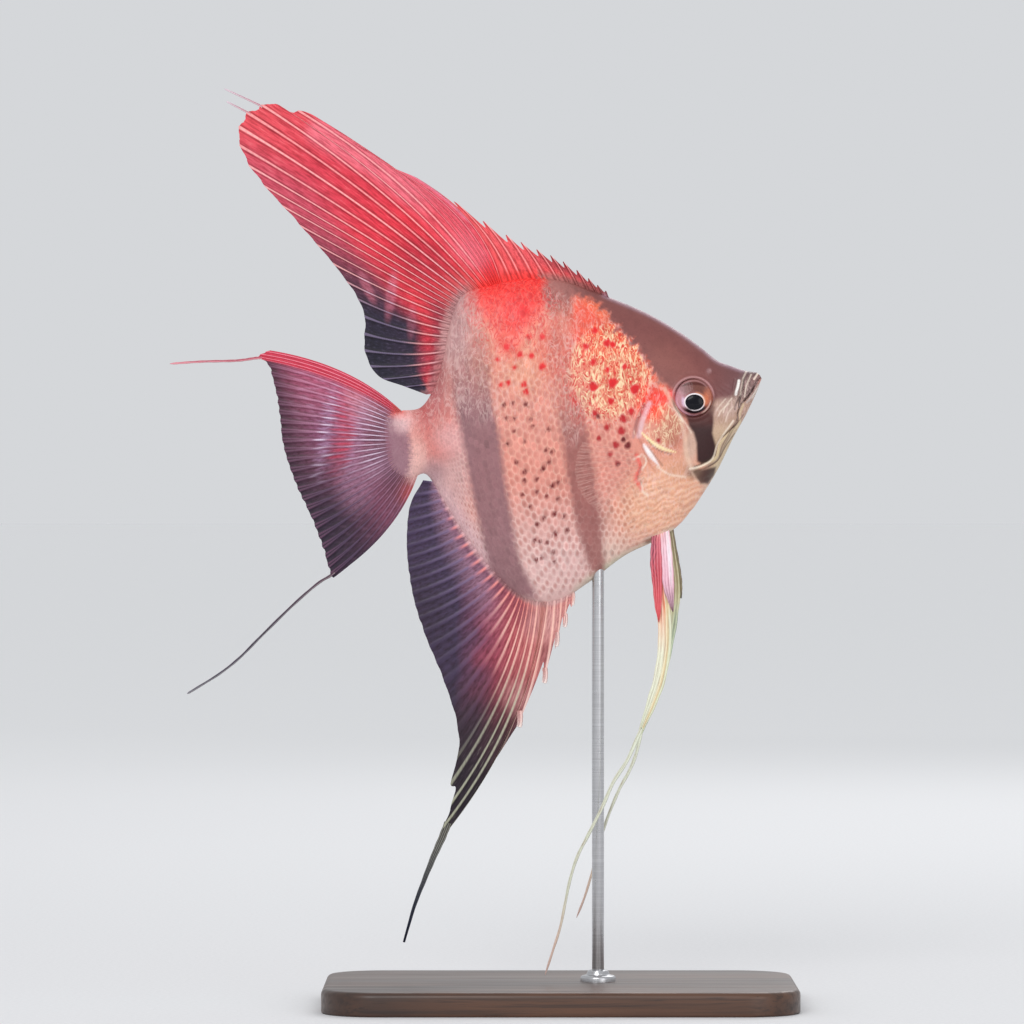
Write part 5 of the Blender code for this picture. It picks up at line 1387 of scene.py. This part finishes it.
def eye_colours(r, theta):
    """Black pupil, thin pale ring, brown-mauve iris, lilac behind the pupil and orange before it, a
    dark brow over it, a dark crescent under it that is painted shadow, a few pale flecks that are painted
    highlights, and a paler rim, painted lighter still above and darker below as light and shade. Angles are
    from +X to +Z."""
    streak = 0.5 + 0.5 * np.sin(theta * 31 + 3 * np.sin(theta * 7) + r * 2.2)
    ahead, above = np.cos(theta), np.sin(theta)

    def toward(degrees):
        """1 in this direction from the pupil, -1 in the opposite one."""
        return np.cos(theta - math.radians(degrees))

    brow = smooth(0.30, 0.08, np.abs(r - 3.93 - 1.4 * (1 - above)))
    ring = smooth(2.60, 2.50, r) * smooth(2.16, 2.24, r)
    ring_tint = over(tint(250, 240, 242), tint(250, 196, 166), smooth(0.8, 0.97, toward(10)) * 0.7)
    return layers(tint(150, 96, 94), (
        (120, 74, 72, streak * 0.4), (206, 152, 160, smooth(0.15, 0.9, -0.9 * ahead - 0.25 * above) * 0.95),
        # Lilac patches behind the pupil, one low by the rim and one by the ring: painted highlights.
        (230, 186, 204, smooth(0.7, 0.97, toward(215)) * smooth(3.7, 4.3, r) * 0.9),
        (236, 214, 238, smooth(0.8, 0.97, toward(184)) * smooth(3.4, 2.7, r) * 0.8),
        (128, 78, 64, smooth(0.5, 0.85, toward(50)) * smooth(2.7, 3.2, r) * 0.8),
        (214, 122, 88, smooth(0.62, 0.97, toward(4)) * (0.5 + 0.45 * smooth(4, 3.2, r))),
        (222, 150, 110, smooth(0.55, 0.9, toward(38)) * smooth(3, 2.6, r) * 0.8),
        # A pale fleck low at the front of the rim: painted highlight.
        (222, 186, 172, smooth(0.86, 0.97, toward(325)) * smooth(0.4, 0.1, np.abs(r - 4.4)) * 0.9),
        (92, 60, 56, smooth(0.3, 0.8, above) * smooth(2.6, 3, r) * 0.35),
        (88, 42, 38, smooth(0.55, 0.78, above) * brow * 0.9),
        # A pale line along the top of the rim: painted highlight.
        (188, 136, 138, smooth(0.4, 0.8, above) * smooth(0.22, 0.06, np.abs(r - 4.36)) * 0.5),
        # The dark crescent under the pupil: painted shadow.
        (34, 18, 24, smooth(-0.30, -0.8, above - 0.12 * ahead) * smooth(4, 3.4, r)),
        (186, 138, 152, smooth(0.7, 0.95, toward(246)) * smooth(0.4, 0.15, np.abs(r - 4.45)) * 0.7),
        (112, 66, 66, smooth(0.12, 0.03, np.abs(r - 4.62)) * 0.5),
        # The rim paler above and darker below: painted light and shade.
        (196, 146, 148, smooth(4.7, 4.85, r) * smooth(-0.1, 0.5, above) * 0.8),
        (104, 66, 66, smooth(4.7, 4.85, r) * smooth(0.1, -0.5, above) * 0.7),
        # The pale ring round the pupil is painted a little brighter above, as painted light, and is dimmer at
        # its lower back.
        (ring_tint, ring * (0.86 + 0.14 * above) * (1 - 0.6 * smooth(0.93, 0.99, toward(236)))),
        (8, 7, 18, smooth(2.26, 2.16, r)),
    ))


# ---------------------------------------------------------------- pieces: stand
STAND_LENGTH, STAND_WIDTH, STAND_THICKNESS = 118.0, 74.0, 6.0
STAND_CORNER, STAND_EDGE = 14.0, 1.4
ROD_X, ROD_RADIUS, ROD_TOP = 9.5, 1.5, 112.5
COLLAR_RADIUS, COLLAR_HEIGHT = 4.4, 2.6


def rounded_ring(length, width, radius, per_corner=18):
    """x and y round a rectangle whose corners are quarter circles."""
    turn = np.linspace(0, np.pi / 2, per_corner)
    ring = []
    for quarter, (sx, sy) in enumerate(((1, 1), (-1, 1), (-1, -1), (1, -1))):
        angle = turn + quarter * np.pi / 2
        ring.append(np.stack([
            sx * (length / 2 - radius) + radius * np.cos(angle),
            sy * (width / 2 - radius) + radius * np.sin(angle),
        ], -1))
    return np.concatenate(ring)


def base_piece(finish):
    """The base: a rounded rectangle carried up a profile with a small round at foot and top."""
    turn = np.radians(np.linspace(0, 90, 7))
    foot = np.stack([0.6 * (1 - np.sin(turn)), 0.6 * (1 - np.cos(turn))], -1)
    top = np.stack([STAND_EDGE * (1 - np.cos(turn)), STAND_THICKNESS - STAND_EDGE * (1 - np.sin(turn))], -1)
    rings = []
    for inset, z in np.concatenate([foot, top]):
        ring = rounded_ring(STAND_LENGTH - 2 * inset, STAND_WIDTH - 2 * inset, STAND_CORNER - inset)
        rings.append(np.hstack([ring, np.full((len(ring), 1), z)]))
    rings = np.array(rings)
    count, around = rings.shape[:2]
    return make_piece(
        "stand_foot", rings.reshape(-1, 3), closed_rings(count, around), finish, ("stand_base",),
        crease=40, flat_ends=True,
    )


def turned_piece(name, profile, finish, nodes, around=64):
    """A turned steel part round the rod's axis, from a profile of radius and height."""
    profile = np.asarray(profile, float)
    turn = full_turn(around)
    points = np.stack([
        ROD_X + profile[:, :1] * np.cos(turn), profile[:, :1] * np.sin(turn), profile[:, 1:] + 0 * turn,
    ], -1).reshape(-1, 3)
    return make_piece(
        name, points, closed_rings(len(profile), around), finish, nodes, crease=35, flat_ends=True,
    )


def stand_pieces(wood, steel):
    """The base, a ferrule with a round shoulder and a stepped neck, and the stem."""
    base_piece(wood)
    foot, turn = STAND_THICKNESS, np.radians(np.linspace(0, 90, 6))
    shoulder = [
        (COLLAR_RADIUS - 0.7 * (1 - math.cos(a)), foot + 1.5 - 0.7 + 0.7 * math.sin(a)) for a in turn
    ]
    neck = [(3.2, 1.55), (2.9, 1.7), (2.75, 2.2), (2.5, 2.7), (1.9, COLLAR_HEIGHT + 0.3)]
    neck = [(radius, foot + height) for radius, height in neck]
    turned_piece("stand_ferrule", [(COLLAR_RADIUS, foot), *shoulder, *neck], steel, ("stand_collar",))
    turned_piece("stand_stem", [
        (ROD_RADIUS - 0.1, foot + 2), (ROD_RADIUS, foot + 2.4), (ROD_RADIUS, ROD_TOP - 0.3),
        (ROD_RADIUS - 0.4, ROD_TOP),
    ], steel, ("stand_rod",), 48)


# ---------------------------------------------------------------- materials
class Sheet:
    """A material's node sheet with short ways to add nodes and join them."""

    def __init__(self, name):
        self.material = bpy.data.materials.new(name)
        self.material.use_nodes = True
        self.tree = self.material.node_tree
        self.shader = self.tree.nodes["Principled BSDF"]

    def feed(self, socket, value):
        """Join a node's output to a socket, or set a plain value on it; None leaves it alone."""
        if isinstance(value, bpy.types.NodeSocket):
            self.tree.links.new(value, socket)
        elif value is not None:
            socket.default_value = value

    def add(self, kind, *inputs, out=0, **settings):
        """A node with its first inputs fed in order; gives back its output number `out`."""
        node = self.tree.nodes.new("ShaderNode" + kind)
        for key, value in settings.items():
            setattr(node, key, value)
        for socket, value in zip(node.inputs, inputs):
            self.feed(socket, value)
        return node.outputs[out]

    def maths(self, operation, *inputs):
        return self.add("Math", *inputs, operation=operation)

    def times(self, a, b):
        return self.maths("MULTIPLY", a, b)

    def less(self, a, b):
        return self.maths("SUBTRACT", a, b)

    def fade(self, value, low, high, to_low=0.0, to_high=1.0):
        """An S-shaped change from one number to another as `value` goes from low to high."""
        return self.add("MapRange", value, low, high, to_low, to_high, interpolation_type="SMOOTHSTEP")

    def mix(self, share, a, b, blend="MIX"):
        """Colour `a` changed towards, or blended with, colour `b` by a share."""
        node = self.tree.nodes.new("ShaderNodeMix")
        node.data_type = "RGBA"
        node.blend_type = blend
        self.feed(node.inputs[0], share)
        self.feed(node.inputs[6], a)
        self.feed(node.inputs[7], b)
        return node.outputs[2]

    def colour(self, name):
        return self.add("Attribute", attribute_name=name)

    def place(self, stretch=(1, 1, 1)):
        """The piece's own coordinates, stretched."""
        node = self.tree.nodes.new("ShaderNodeMapping")
        node.inputs["Scale"].default_value = stretch
        self.tree.links.new(self.add("TexCoord", out=3), node.inputs["Vector"])
        return node.outputs[0]

    def noise(self, scale, detail, roughness=0.5, distortion=0.0, stretch=(1, 1, 1), vector=None):
        """Noise over the piece's own coordinates, or over another vector."""
        vector = self.place(stretch) if vector is None else vector
        node = self.tree.nodes.new("ShaderNodeTexNoise")
        self.feed(node.inputs["Vector"], vector)
        settings = {"Scale": scale, "Detail": detail, "Roughness": roughness, "Distortion": distortion}
        for key, value in settings.items():
            node.inputs[key].default_value = value
        return node.outputs[0]

    def bump(self, height, strength, distance):
        node = self.tree.nodes.new("ShaderNodeBump")
        node.inputs["Strength"].default_value = strength
        node.inputs["Distance"].default_value = distance
        self.feed(node.inputs["Height"], height)
        return node.outputs[0]

    def finish(self, colour, roughness, normal=None, **constants):
        """Feed the shader, and set its plain numbers on their own sockets."""
        self.feed(self.shader.inputs["Base Color"], colour)
        self.feed(self.shader.inputs["Roughness"], roughness)
        self.feed(self.shader.inputs["Normal"], normal)
        for key, value in constants.items():
            self.shader.inputs[key.replace("_", " ")].default_value = value
        return self.material


def rgb(*values):
    """A display colour as a shader socket takes it."""
    return (*tint(*values), 1.0)


def net_lines(sheet, stretch, scale, width, distortion):
    """Worm-like lines: where a warped noise is near its middle value."""
    noise = sheet.noise(scale, 1.0, 0.5, distortion, stretch)
    away = sheet.maths("ABSOLUTE", sheet.less(noise, 0.5))
    return sheet.fade(away, width, width * 0.25)


def flesh_finish(name, scaled):
    """The flesh: its ground colour, faint mottling, the red net and the cream net over it, and on
    scales a darker crescent in the middle with a pale free edge."""
    sheet = Sheet(name)
    marks = sheet.add("SeparateColor", sheet.colour("marks"))
    red_share, cream_share, grey_share = (marks.node.outputs[k] for k in range(3))
    colour = sheet.colour("ground")
    mottle = sheet.noise(420.0, 3.0, 0.6)
    mottled = sheet.fade(mottle, 0.35, 0.7)
    colour = sheet.mix(mottled, colour, sheet.mix(0.12, colour, rgb(120, 70, 70), "MULTIPLY"))
    speck = sheet.noise(2600.0, 2.0, 0.6)
    colour = sheet.mix(sheet.fade(speck, 0.5, 0.8, 0.0, 0.25), colour, rgb(150, 96, 96), "MULTIPLY")
    red = sheet.times(net_lines(sheet, (1, 1, 0.6), 430.0, 0.07, 2.0), red_share)
    colour = sheet.mix(sheet.times(red, 0.8), colour, rgb(214, 20, 28))
    broken = sheet.fade(sheet.noise(1100.0, 1.0, 0.5, stretch=(1, 1, 0.5)), 0.36, 0.56, 0.15, 1.0)
    coarse = sheet.times(net_lines(sheet, (1, 1, 0.45), 470.0, 0.072, 1.6), broken)
    small = sheet.times(net_lines(sheet, (1, 1, 0.36), 1050.0, 0.05, 1.0), 0.6)
    cream = sheet.maths("MAXIMUM", coarse, small)
    cream_tint = sheet.mix(sheet.fade(cream_share, 0.42, 0.85), rgb(246, 214, 208), rgb(255, 238, 192))
    line_tint = sheet.mix(0.8, colour, cream_tint)
    colour = sheet.mix(sheet.times(sheet.times(cream, cream_share), 0.95), colour, line_tint)
    height = sheet.noise(1500.0, 2.0, 0.6)
    if scaled:
        own = sheet.add("SeparateXYZ", sheet.add("UVMap", uv_map="own"))
        across, along = own, own.node.outputs[1]
        plain = sheet.less(1.0, sheet.times(grey_share, 0.92))
        level = sheet.add("SeparateXYZ", sheet.place()).node.outputs[2]
        low = sheet.fade(level, 0.142, 0.118)
        wide = sheet.times(across, 1.5)
        deep = sheet.times(sheet.less(along, 0.58), 3.9)
        square = sheet.maths("ADD", sheet.times(wide, wide), sheet.times(deep, deep))
        reach = sheet.maths("SQRT", square)
        core = sheet.times(sheet.fade(reach, 1.25, 0.2), plain)
        rim = sheet.times(sheet.fade(reach, 0.8, 1.7), plain)
        patchy = sheet.fade(sheet.noise(300.0, 1.0, 0.5), 0.34, 0.62, 0.45, 1.0)
        core_share = sheet.times(sheet.times(core, patchy), sheet.fade(low, 0.0, 1.0, 0.30, 0.50))
        rim_share = sheet.times(sheet.times(rim, patchy), sheet.fade(low, 0.0, 1.0, 0.34, 0.56))
        colour = sheet.mix(core_share, colour, rgb(196, 130, 116), "MULTIPLY")
        colour = sheet.mix(rim_share, colour, sheet.mix(low, rgb(255, 224, 190), rgb(250, 224, 214)))
    roughness = sheet.fade(mottle, 0.3, 0.7, 0.36, 0.5)
    normal = sheet.bump(height, 0.25, 0.00012)
    return sheet.finish(
        colour, roughness, normal, Coat_Weight=0.1, Coat_Roughness=0.25, Specular_IOR_Level=0.3,
    )


def fin_finish(name, line, narrow, shade=0.45, clear=False):
    """A fin's membrane and rays: rays are lines of the ray colour that fork as the relief does,
    `line` the half width at the root as a share of the spacing and `narrow` times that further
    out, with a band of painted shadow beside each, `shade` dark, and the membrane between them is finely
    streaked."""
    sheet = Sheet(name)
    own = sheet.add("SeparateXYZ", sheet.add("UVMap", uv_map="lanes"))
    ray, along = own, own.node.outputs[1]
    off = sheet.maths("ABSOLUTE", sheet.less(sheet.maths("FRACT", ray), 0.5))
    off = sheet.maths("ABSOLUTE", sheet.less(off, sheet.fade(along, 0.45, 1.1, 0.0, 0.25)))
    off = sheet.maths("ABSOLUTE", sheet.less(off, sheet.fade(along, 0.72, 1.15, 0.0, 0.125)))
    width = sheet.fade(along, 0.0, 0.6, line, line * narrow)
    share = sheet.maths("DIVIDE", off, width)
    ridge = sheet.fade(share, 1.1, 0.2)
    painted_ray_shadow = sheet.times(sheet.fade(share, 0.9, 1.3), sheet.fade(share, 3.2, 1.6))
    grain = sheet.noise(900.0, 3.0, 0.65)
    fine = sheet.noise(3200.0, 2.0, 0.6)
    lanes = sheet.add("CombineXYZ", sheet.times(ray, 7.0), sheet.times(along, 26.0), 0.0)
    streak = sheet.noise(1.0, 3.0, 0.6, vector=lanes)
    share = sheet.fade(grain, 0.35, 0.75, 0.0, 0.25)
    colour = sheet.mix(share, sheet.colour("ground"), rgb(255, 236, 240), "SOFT_LIGHT")
    colour = sheet.mix(sheet.fade(streak, 0.42, 0.70, 0.0, 0.6), colour, rgb(160, 92, 108), "MULTIPLY")
    colour = sheet.mix(sheet.fade(streak, 0.46, 0.26, 0.0, 0.22), colour, sheet.colour("rays"))
    # Darker bands beside each raised ray: painted shadow.
    colour = sheet.mix(sheet.times(painted_ray_shadow, shade), colour, rgb(110, 48, 66), "MULTIPLY")
    joints = sheet.fade(sheet.maths("SINE", sheet.times(along, 420.0)), 0.2, 0.9, 1.0, 0.82)
    colour = sheet.mix(sheet.times(sheet.times(ridge, joints), 0.95), colour, sheet.colour("rays"))
    height = sheet.maths("ADD", ridge, sheet.times(sheet.maths("ADD", fine, streak), 0.5))
    normal = sheet.bump(height, 0.35, 0.00012)
    made = sheet.finish(colour, sheet.fade(grain, 0.3, 0.7, 0.38, 0.52), normal, Specular_IOR_Level=0.25)
    if clear:
        sheet.feed(sheet.shader.inputs["Alpha"], sheet.fade(ridge, 0.0, 1.0, 0.03, 0.11))
    return made


def eye_finish():
    """The eye's own colours, faintly flecked, under a thin clear coat."""
    sheet = Sheet("eye_gloss")
    fleck = sheet.noise(3800.0, 3.0, 0.65)
    share = sheet.fade(fleck, 0.4, 0.75, 0.0, 0.35)
    colour = sheet.mix(share, sheet.colour("ground"), rgb(150, 112, 120), "MULTIPLY")
    roughness = sheet.fade(fleck, 0.3, 0.7, 0.16, 0.24)
    return sheet.finish(colour, roughness, Coat_Weight=0.18, Coat_Roughness=0.03, Specular_IOR_Level=0.12)


def wood_finish():
    """Dark oiled hardwood: long grain lines along X, slow bands and short pores."""
    sheet = Sheet("oiled_walnut")
    slow = sheet.noise(3.0, 3.0, 0.55, 0.6, stretch=(3, 22, 22))
    grain = sheet.noise(2.0, 4.0, 0.65, 0.3, stretch=(8, 300, 300))
    pores = sheet.noise(2.2, 2.0, 0.5, stretch=(40, 900, 900))
    colour = sheet.mix(sheet.fade(slow, 0.3, 0.7), rgb(58, 36, 25), rgb(96, 62, 42))
    colour = sheet.mix(sheet.fade(grain, 0.42, 0.7, 0.0, 0.7), colour, rgb(36, 21, 15))
    colour = sheet.mix(sheet.fade(pores, 0.60, 0.74, 0.0, 0.55), colour, rgb(24, 13, 9))
    roughness = sheet.fade(grain, 0.3, 0.75, 0.34, 0.52)
    normal = sheet.bump(sheet.maths("ADD", grain, pores), 0.18, 0.00015)
    return sheet.finish(colour, roughness, normal, Coat_Weight=0.18, Coat_Roughness=0.3)


def steel_finish():
    """Brushed stainless steel: fine rings round the upright axis and faint clouds."""
    sheet = Sheet("brushed_steel")
    rings = sheet.noise(1.0, 2.0, 0.5, stretch=(30, 30, 9000))
    cloud = sheet.noise(260.0, 3.0, 0.6)
    colour = sheet.mix(sheet.fade(rings, 0.35, 0.7), rgb(184, 184, 186), rgb(204, 204, 206))
    roughness = sheet.fade(cloud, 0.3, 0.7, 0.26, 0.34)
    return sheet.finish(colour, roughness, sheet.bump(rings, 0.03, 0.00002), Metallic=1.0)


# ---------------------------------------------------------------- the model
def build_model():
    """Every piece of the fish and of its stand."""
    gloss, clear = eye_finish(), fin_finish("clear_membrane", 0.2, 0.5, clear=True)
    skin, scales = flesh_finish("angelfish_skin", False), flesh_finish("angelfish_scales", True)
    skin_piece(skin)
    for side, name in ((-1, "right"), (1, "left")):
        u, level, pitch = scale_roots(side)
        split = u < 10.0
        scale_piece(f"scales_{name}_front", side, (u[split], level[split], pitch[split]), scales)
        scale_piece(f"scales_{name}_rear", side, (u[~split], level[~split], pitch[~split]), scales)
        eye_piece(f"eyeball_{name}", side, gloss, f"eye_{name}")
        pectoral_piece(f"pectoral_fan_{name}", side, clear, f"pectoral_fin_{name}")
    fins, broad = fin_finish("finned_membrane", 0.115, 0.6), fin_finish("ribbed_membrane", 0.25, 0.72)
    spiny_fin(
        "dorsal_sail", DORSAL_RAYS, DORSAL_SPINES, 12, 25, 3.6, (21, 0.014), 0.62, 112, sway_dorsal, 0.11,
        paint_dorsal, fins, ("dorsal_fin_spines", "dorsal_fin_sail"),
    )
    spiny_fin(
        "anal_sail", ANAL_RAYS, ANAL_SPINES, 14, 26, 6.0, (22, 0.010), 0.6, 124, sway_anal, 0.17,
        paint_anal, fin_finish("anal_membrane", 0.21, 0.72, 0.35),
        ("anal_fin_spines", "anal_fin_sail"), 1.5,
    )
    tip_pieces(broad)
    caudal_piece(fin_finish("tail_membrane", 0.2, 0.6, 0.3))
    right, left = ("pelvic_fin_right",), ("pelvic_fin_left",)
    soft = fin_finish("pelvic_membrane", 0.30, 0.9, 0.12)
    # Ribbons: name, route, spread, thickness, strands, colouring, nodes replaced, rows of points.
    for name, route, spread, thickness, strands, paint, nodes, rows in (
        ("ribbon_right", PELVIC_RIGHT, (-1,), 0.8, 4, PAINT_PELVIC_RIGHT, right, 150),
        ("blade_right", PELVIC_BLADE_RIGHT, (-1, 0.75), 0.5, 4, PAINT_BLADE_RIGHT, right, 90),
        ("front_right", PELVIC_FRONT_RIGHT, (-1, 0.6), 0.6, 4, PAINT_FRONT_RIGHT, right, 80),
        ("ribbon_left", PELVIC_LEFT, (1,), 0.8, 4, PAINT_PELVIC_LEFT, left, 150),
        ("blade_left", PELVIC_BLADE_LEFT, (1, 0.6), 0.6, 3, PAINT_BLADE_LEFT, left, 80),
    ):
        depth = pelvic_spread(*spread)
        ribbon_piece("pelvic_" + name, route, depth, thickness, strands, paint, soft, nodes, rows)
    ribbon_piece(
        "anal_filament", ANAL_STREAMER, sway_anal, 0.54, 4, PAINT_STREAMER, broad,
        ("anal_streamer",),
    )
    # Threads: name, route, sway, thickness at start and end, colours, finish, slot (not used), nodes, rings.
    for name, route, sway, start, end, stops, finish, slot, nodes, steps in (
        ("pelvic_filament_right", PELVIC_THREAD_RIGHT, pelvic_spread(-1), 1.9, 1.05, PALE, soft, "pale_fin",
         ("pelvic_thread_right_1", "pelvic_thread_right_2"), 260),
        ("pelvic_filament_left", PELVIC_THREAD_LEFT, pelvic_spread(1), 1.8, 1, PALE, soft, "pale_fin",
         ("pelvic_thread_left_1", "pelvic_thread_left_2"), 220),
        ("tail_filament_upper", CAUDAL_THREAD_UPPER, sway_caudal, 1.35, 1, ROSY, broad, "red_fin",
         ("caudal_thread_upper",), 120),
        ("tail_filament_lower", CAUDAL_THREAD_LOWER, sway_caudal, 1.35, 1, DUSKY, broad, "mauve_fin",
         ("caudal_thread_lower",), 180),
        ("dorsal_filament_upper", DORSAL_THREAD_UPPER, sway_dorsal, 1.2, 0.8, BLUSH, broad, "red_fin",
         ("dorsal_thread_upper",), 60),
        ("dorsal_filament_lower", DORSAL_THREAD_LOWER, sway_dorsal, 1.2, 0.8, BLUSH, broad, "red_fin",
         ("dorsal_thread_lower",), 60),
    ):
        thread_piece(name, route, sway, start, end, stops, finish, nodes, steps)
    stand_pieces(wood_finish(), steel_finish())


# ---------------------------------------------------------------- stage, lights and camera
# In metres from here on, as these things aren't part of the model.
FLOOR_RADIUS, FLOOR_MIDDLE, FLOOR_RINGS, FLOOR_AROUND = 60.0, 0.02, 60, 96
LAMP_AIM = (-0.01, 0.0, 0.13)
LAMPS = (  # name, place, size, power in watts
    ("key", (-0.40, -1.35, 0.85), 0.8, 8.6),
    ("fill", (0.75, -1.25, 0.30), 0.9, 3),
    ("back", (0.3, 1, 0.9), 0.8, 4.2),
)
AIR_TINT, AIR_STRENGTH = (0.95, 0.97, 1.0, 1.0), 0.70
CAMERA_PLACE = (-0.012, -1.5, 0.12325)


def stage():
    """A wide round floor: rings of points whose radii grow evenly in powers. It is a little
    darker under the model than far away, where it meets the air of the studio; the paler paper far out is
    painted light that makes up for the lamps' light falling off there."""
    grown = (FLOOR_RADIUS / FLOOR_MIDDLE) ** np.linspace(0.02, 1, FLOOR_RINGS)
    radius = np.concatenate([[FLOOR_MIDDLE], FLOOR_MIDDLE * grown])[:, None]
    turn = np.linspace(0, 2 * np.pi, FLOOR_AROUND + 1)[None, :-1]
    points = np.stack([radius * np.cos(turn), radius * np.sin(turn), 0 * radius * turn], -1).reshape(-1, 3)
    quads = grid_faces(len(radius), FLOOR_AROUND, wrap=True)
    mesh = bpy.data.meshes.new("floor")
    mesh.from_pydata(points.tolist(), [], [*quads.tolist(), list(range(FLOOR_AROUND))])
    mesh.shade_smooth()
    sheet = Sheet("studio_paper")
    reach = sheet.add("VectorMath", sheet.place((1, 1, 0)), operation="LENGTH", out=1)
    tooth = sheet.noise(900.0, 3.0, 0.6)
    near = sheet.mix(sheet.fade(tooth, 0.3, 0.7), rgb(226, 226, 227), rgb(231, 231, 232))
    # Paler paper far out: painted light, making up for the lamps' light falling off with distance.
    paper_with_painted_light = sheet.mix(sheet.fade(reach, 0.8, 1.9), near, rgb(254, 254, 254))
    mesh.materials.append(sheet.finish(paper_with_painted_light, 0.9, None, Specular_IOR_Level=0.1))
    put("floor", mesh)


def add_light(name, place, size, power):
    """A round lamp that looks at the model's middle."""
    lamp = bpy.data.lights.new(name, "AREA")
    lamp.shape = "DISK"
    lamp.size = size
    lamp.energy = power
    made = put(name, lamp)
    made.location = place
    away = np.array(place) - np.array(LAMP_AIM)
    level = math.hypot(away[0], away[1])
    made.rotation_euler = (math.atan2(level, away[2]), 0.0, math.atan2(away[1], away[0]) + math.pi / 2)


def lights_and_camera():
    """Even studio air, three lamps, and a long lens square on to the right flank."""
    scene = bpy.context.scene
    world = bpy.data.worlds.new("studio_air")
    world.use_nodes = True
    air = world.node_tree.nodes["Background"].inputs
    air["Color"].default_value, air["Strength"].default_value = AIR_TINT, AIR_STRENGTH
    scene.world = world
    for lamp in LAMPS:
        add_light(*lamp)
    camera = bpy.data.cameras.new("camera")
    camera.lens, camera.sensor_width = 211.0, 36.0
    camera.clip_start, camera.clip_end = 0.05, 200.0
    scene.camera = put("camera", camera)
    scene.camera.location = CAMERA_PLACE
    scene.camera.rotation_euler = (math.pi / 2, 0.0, 0.0)
    scene.view_settings.view_transform = "Standard"


build_model()
stage()
lights_and_camera()


def plain(box):
    """A box as plain lists of numbers."""
    return [[float(v) for v in corner] for corner in box]
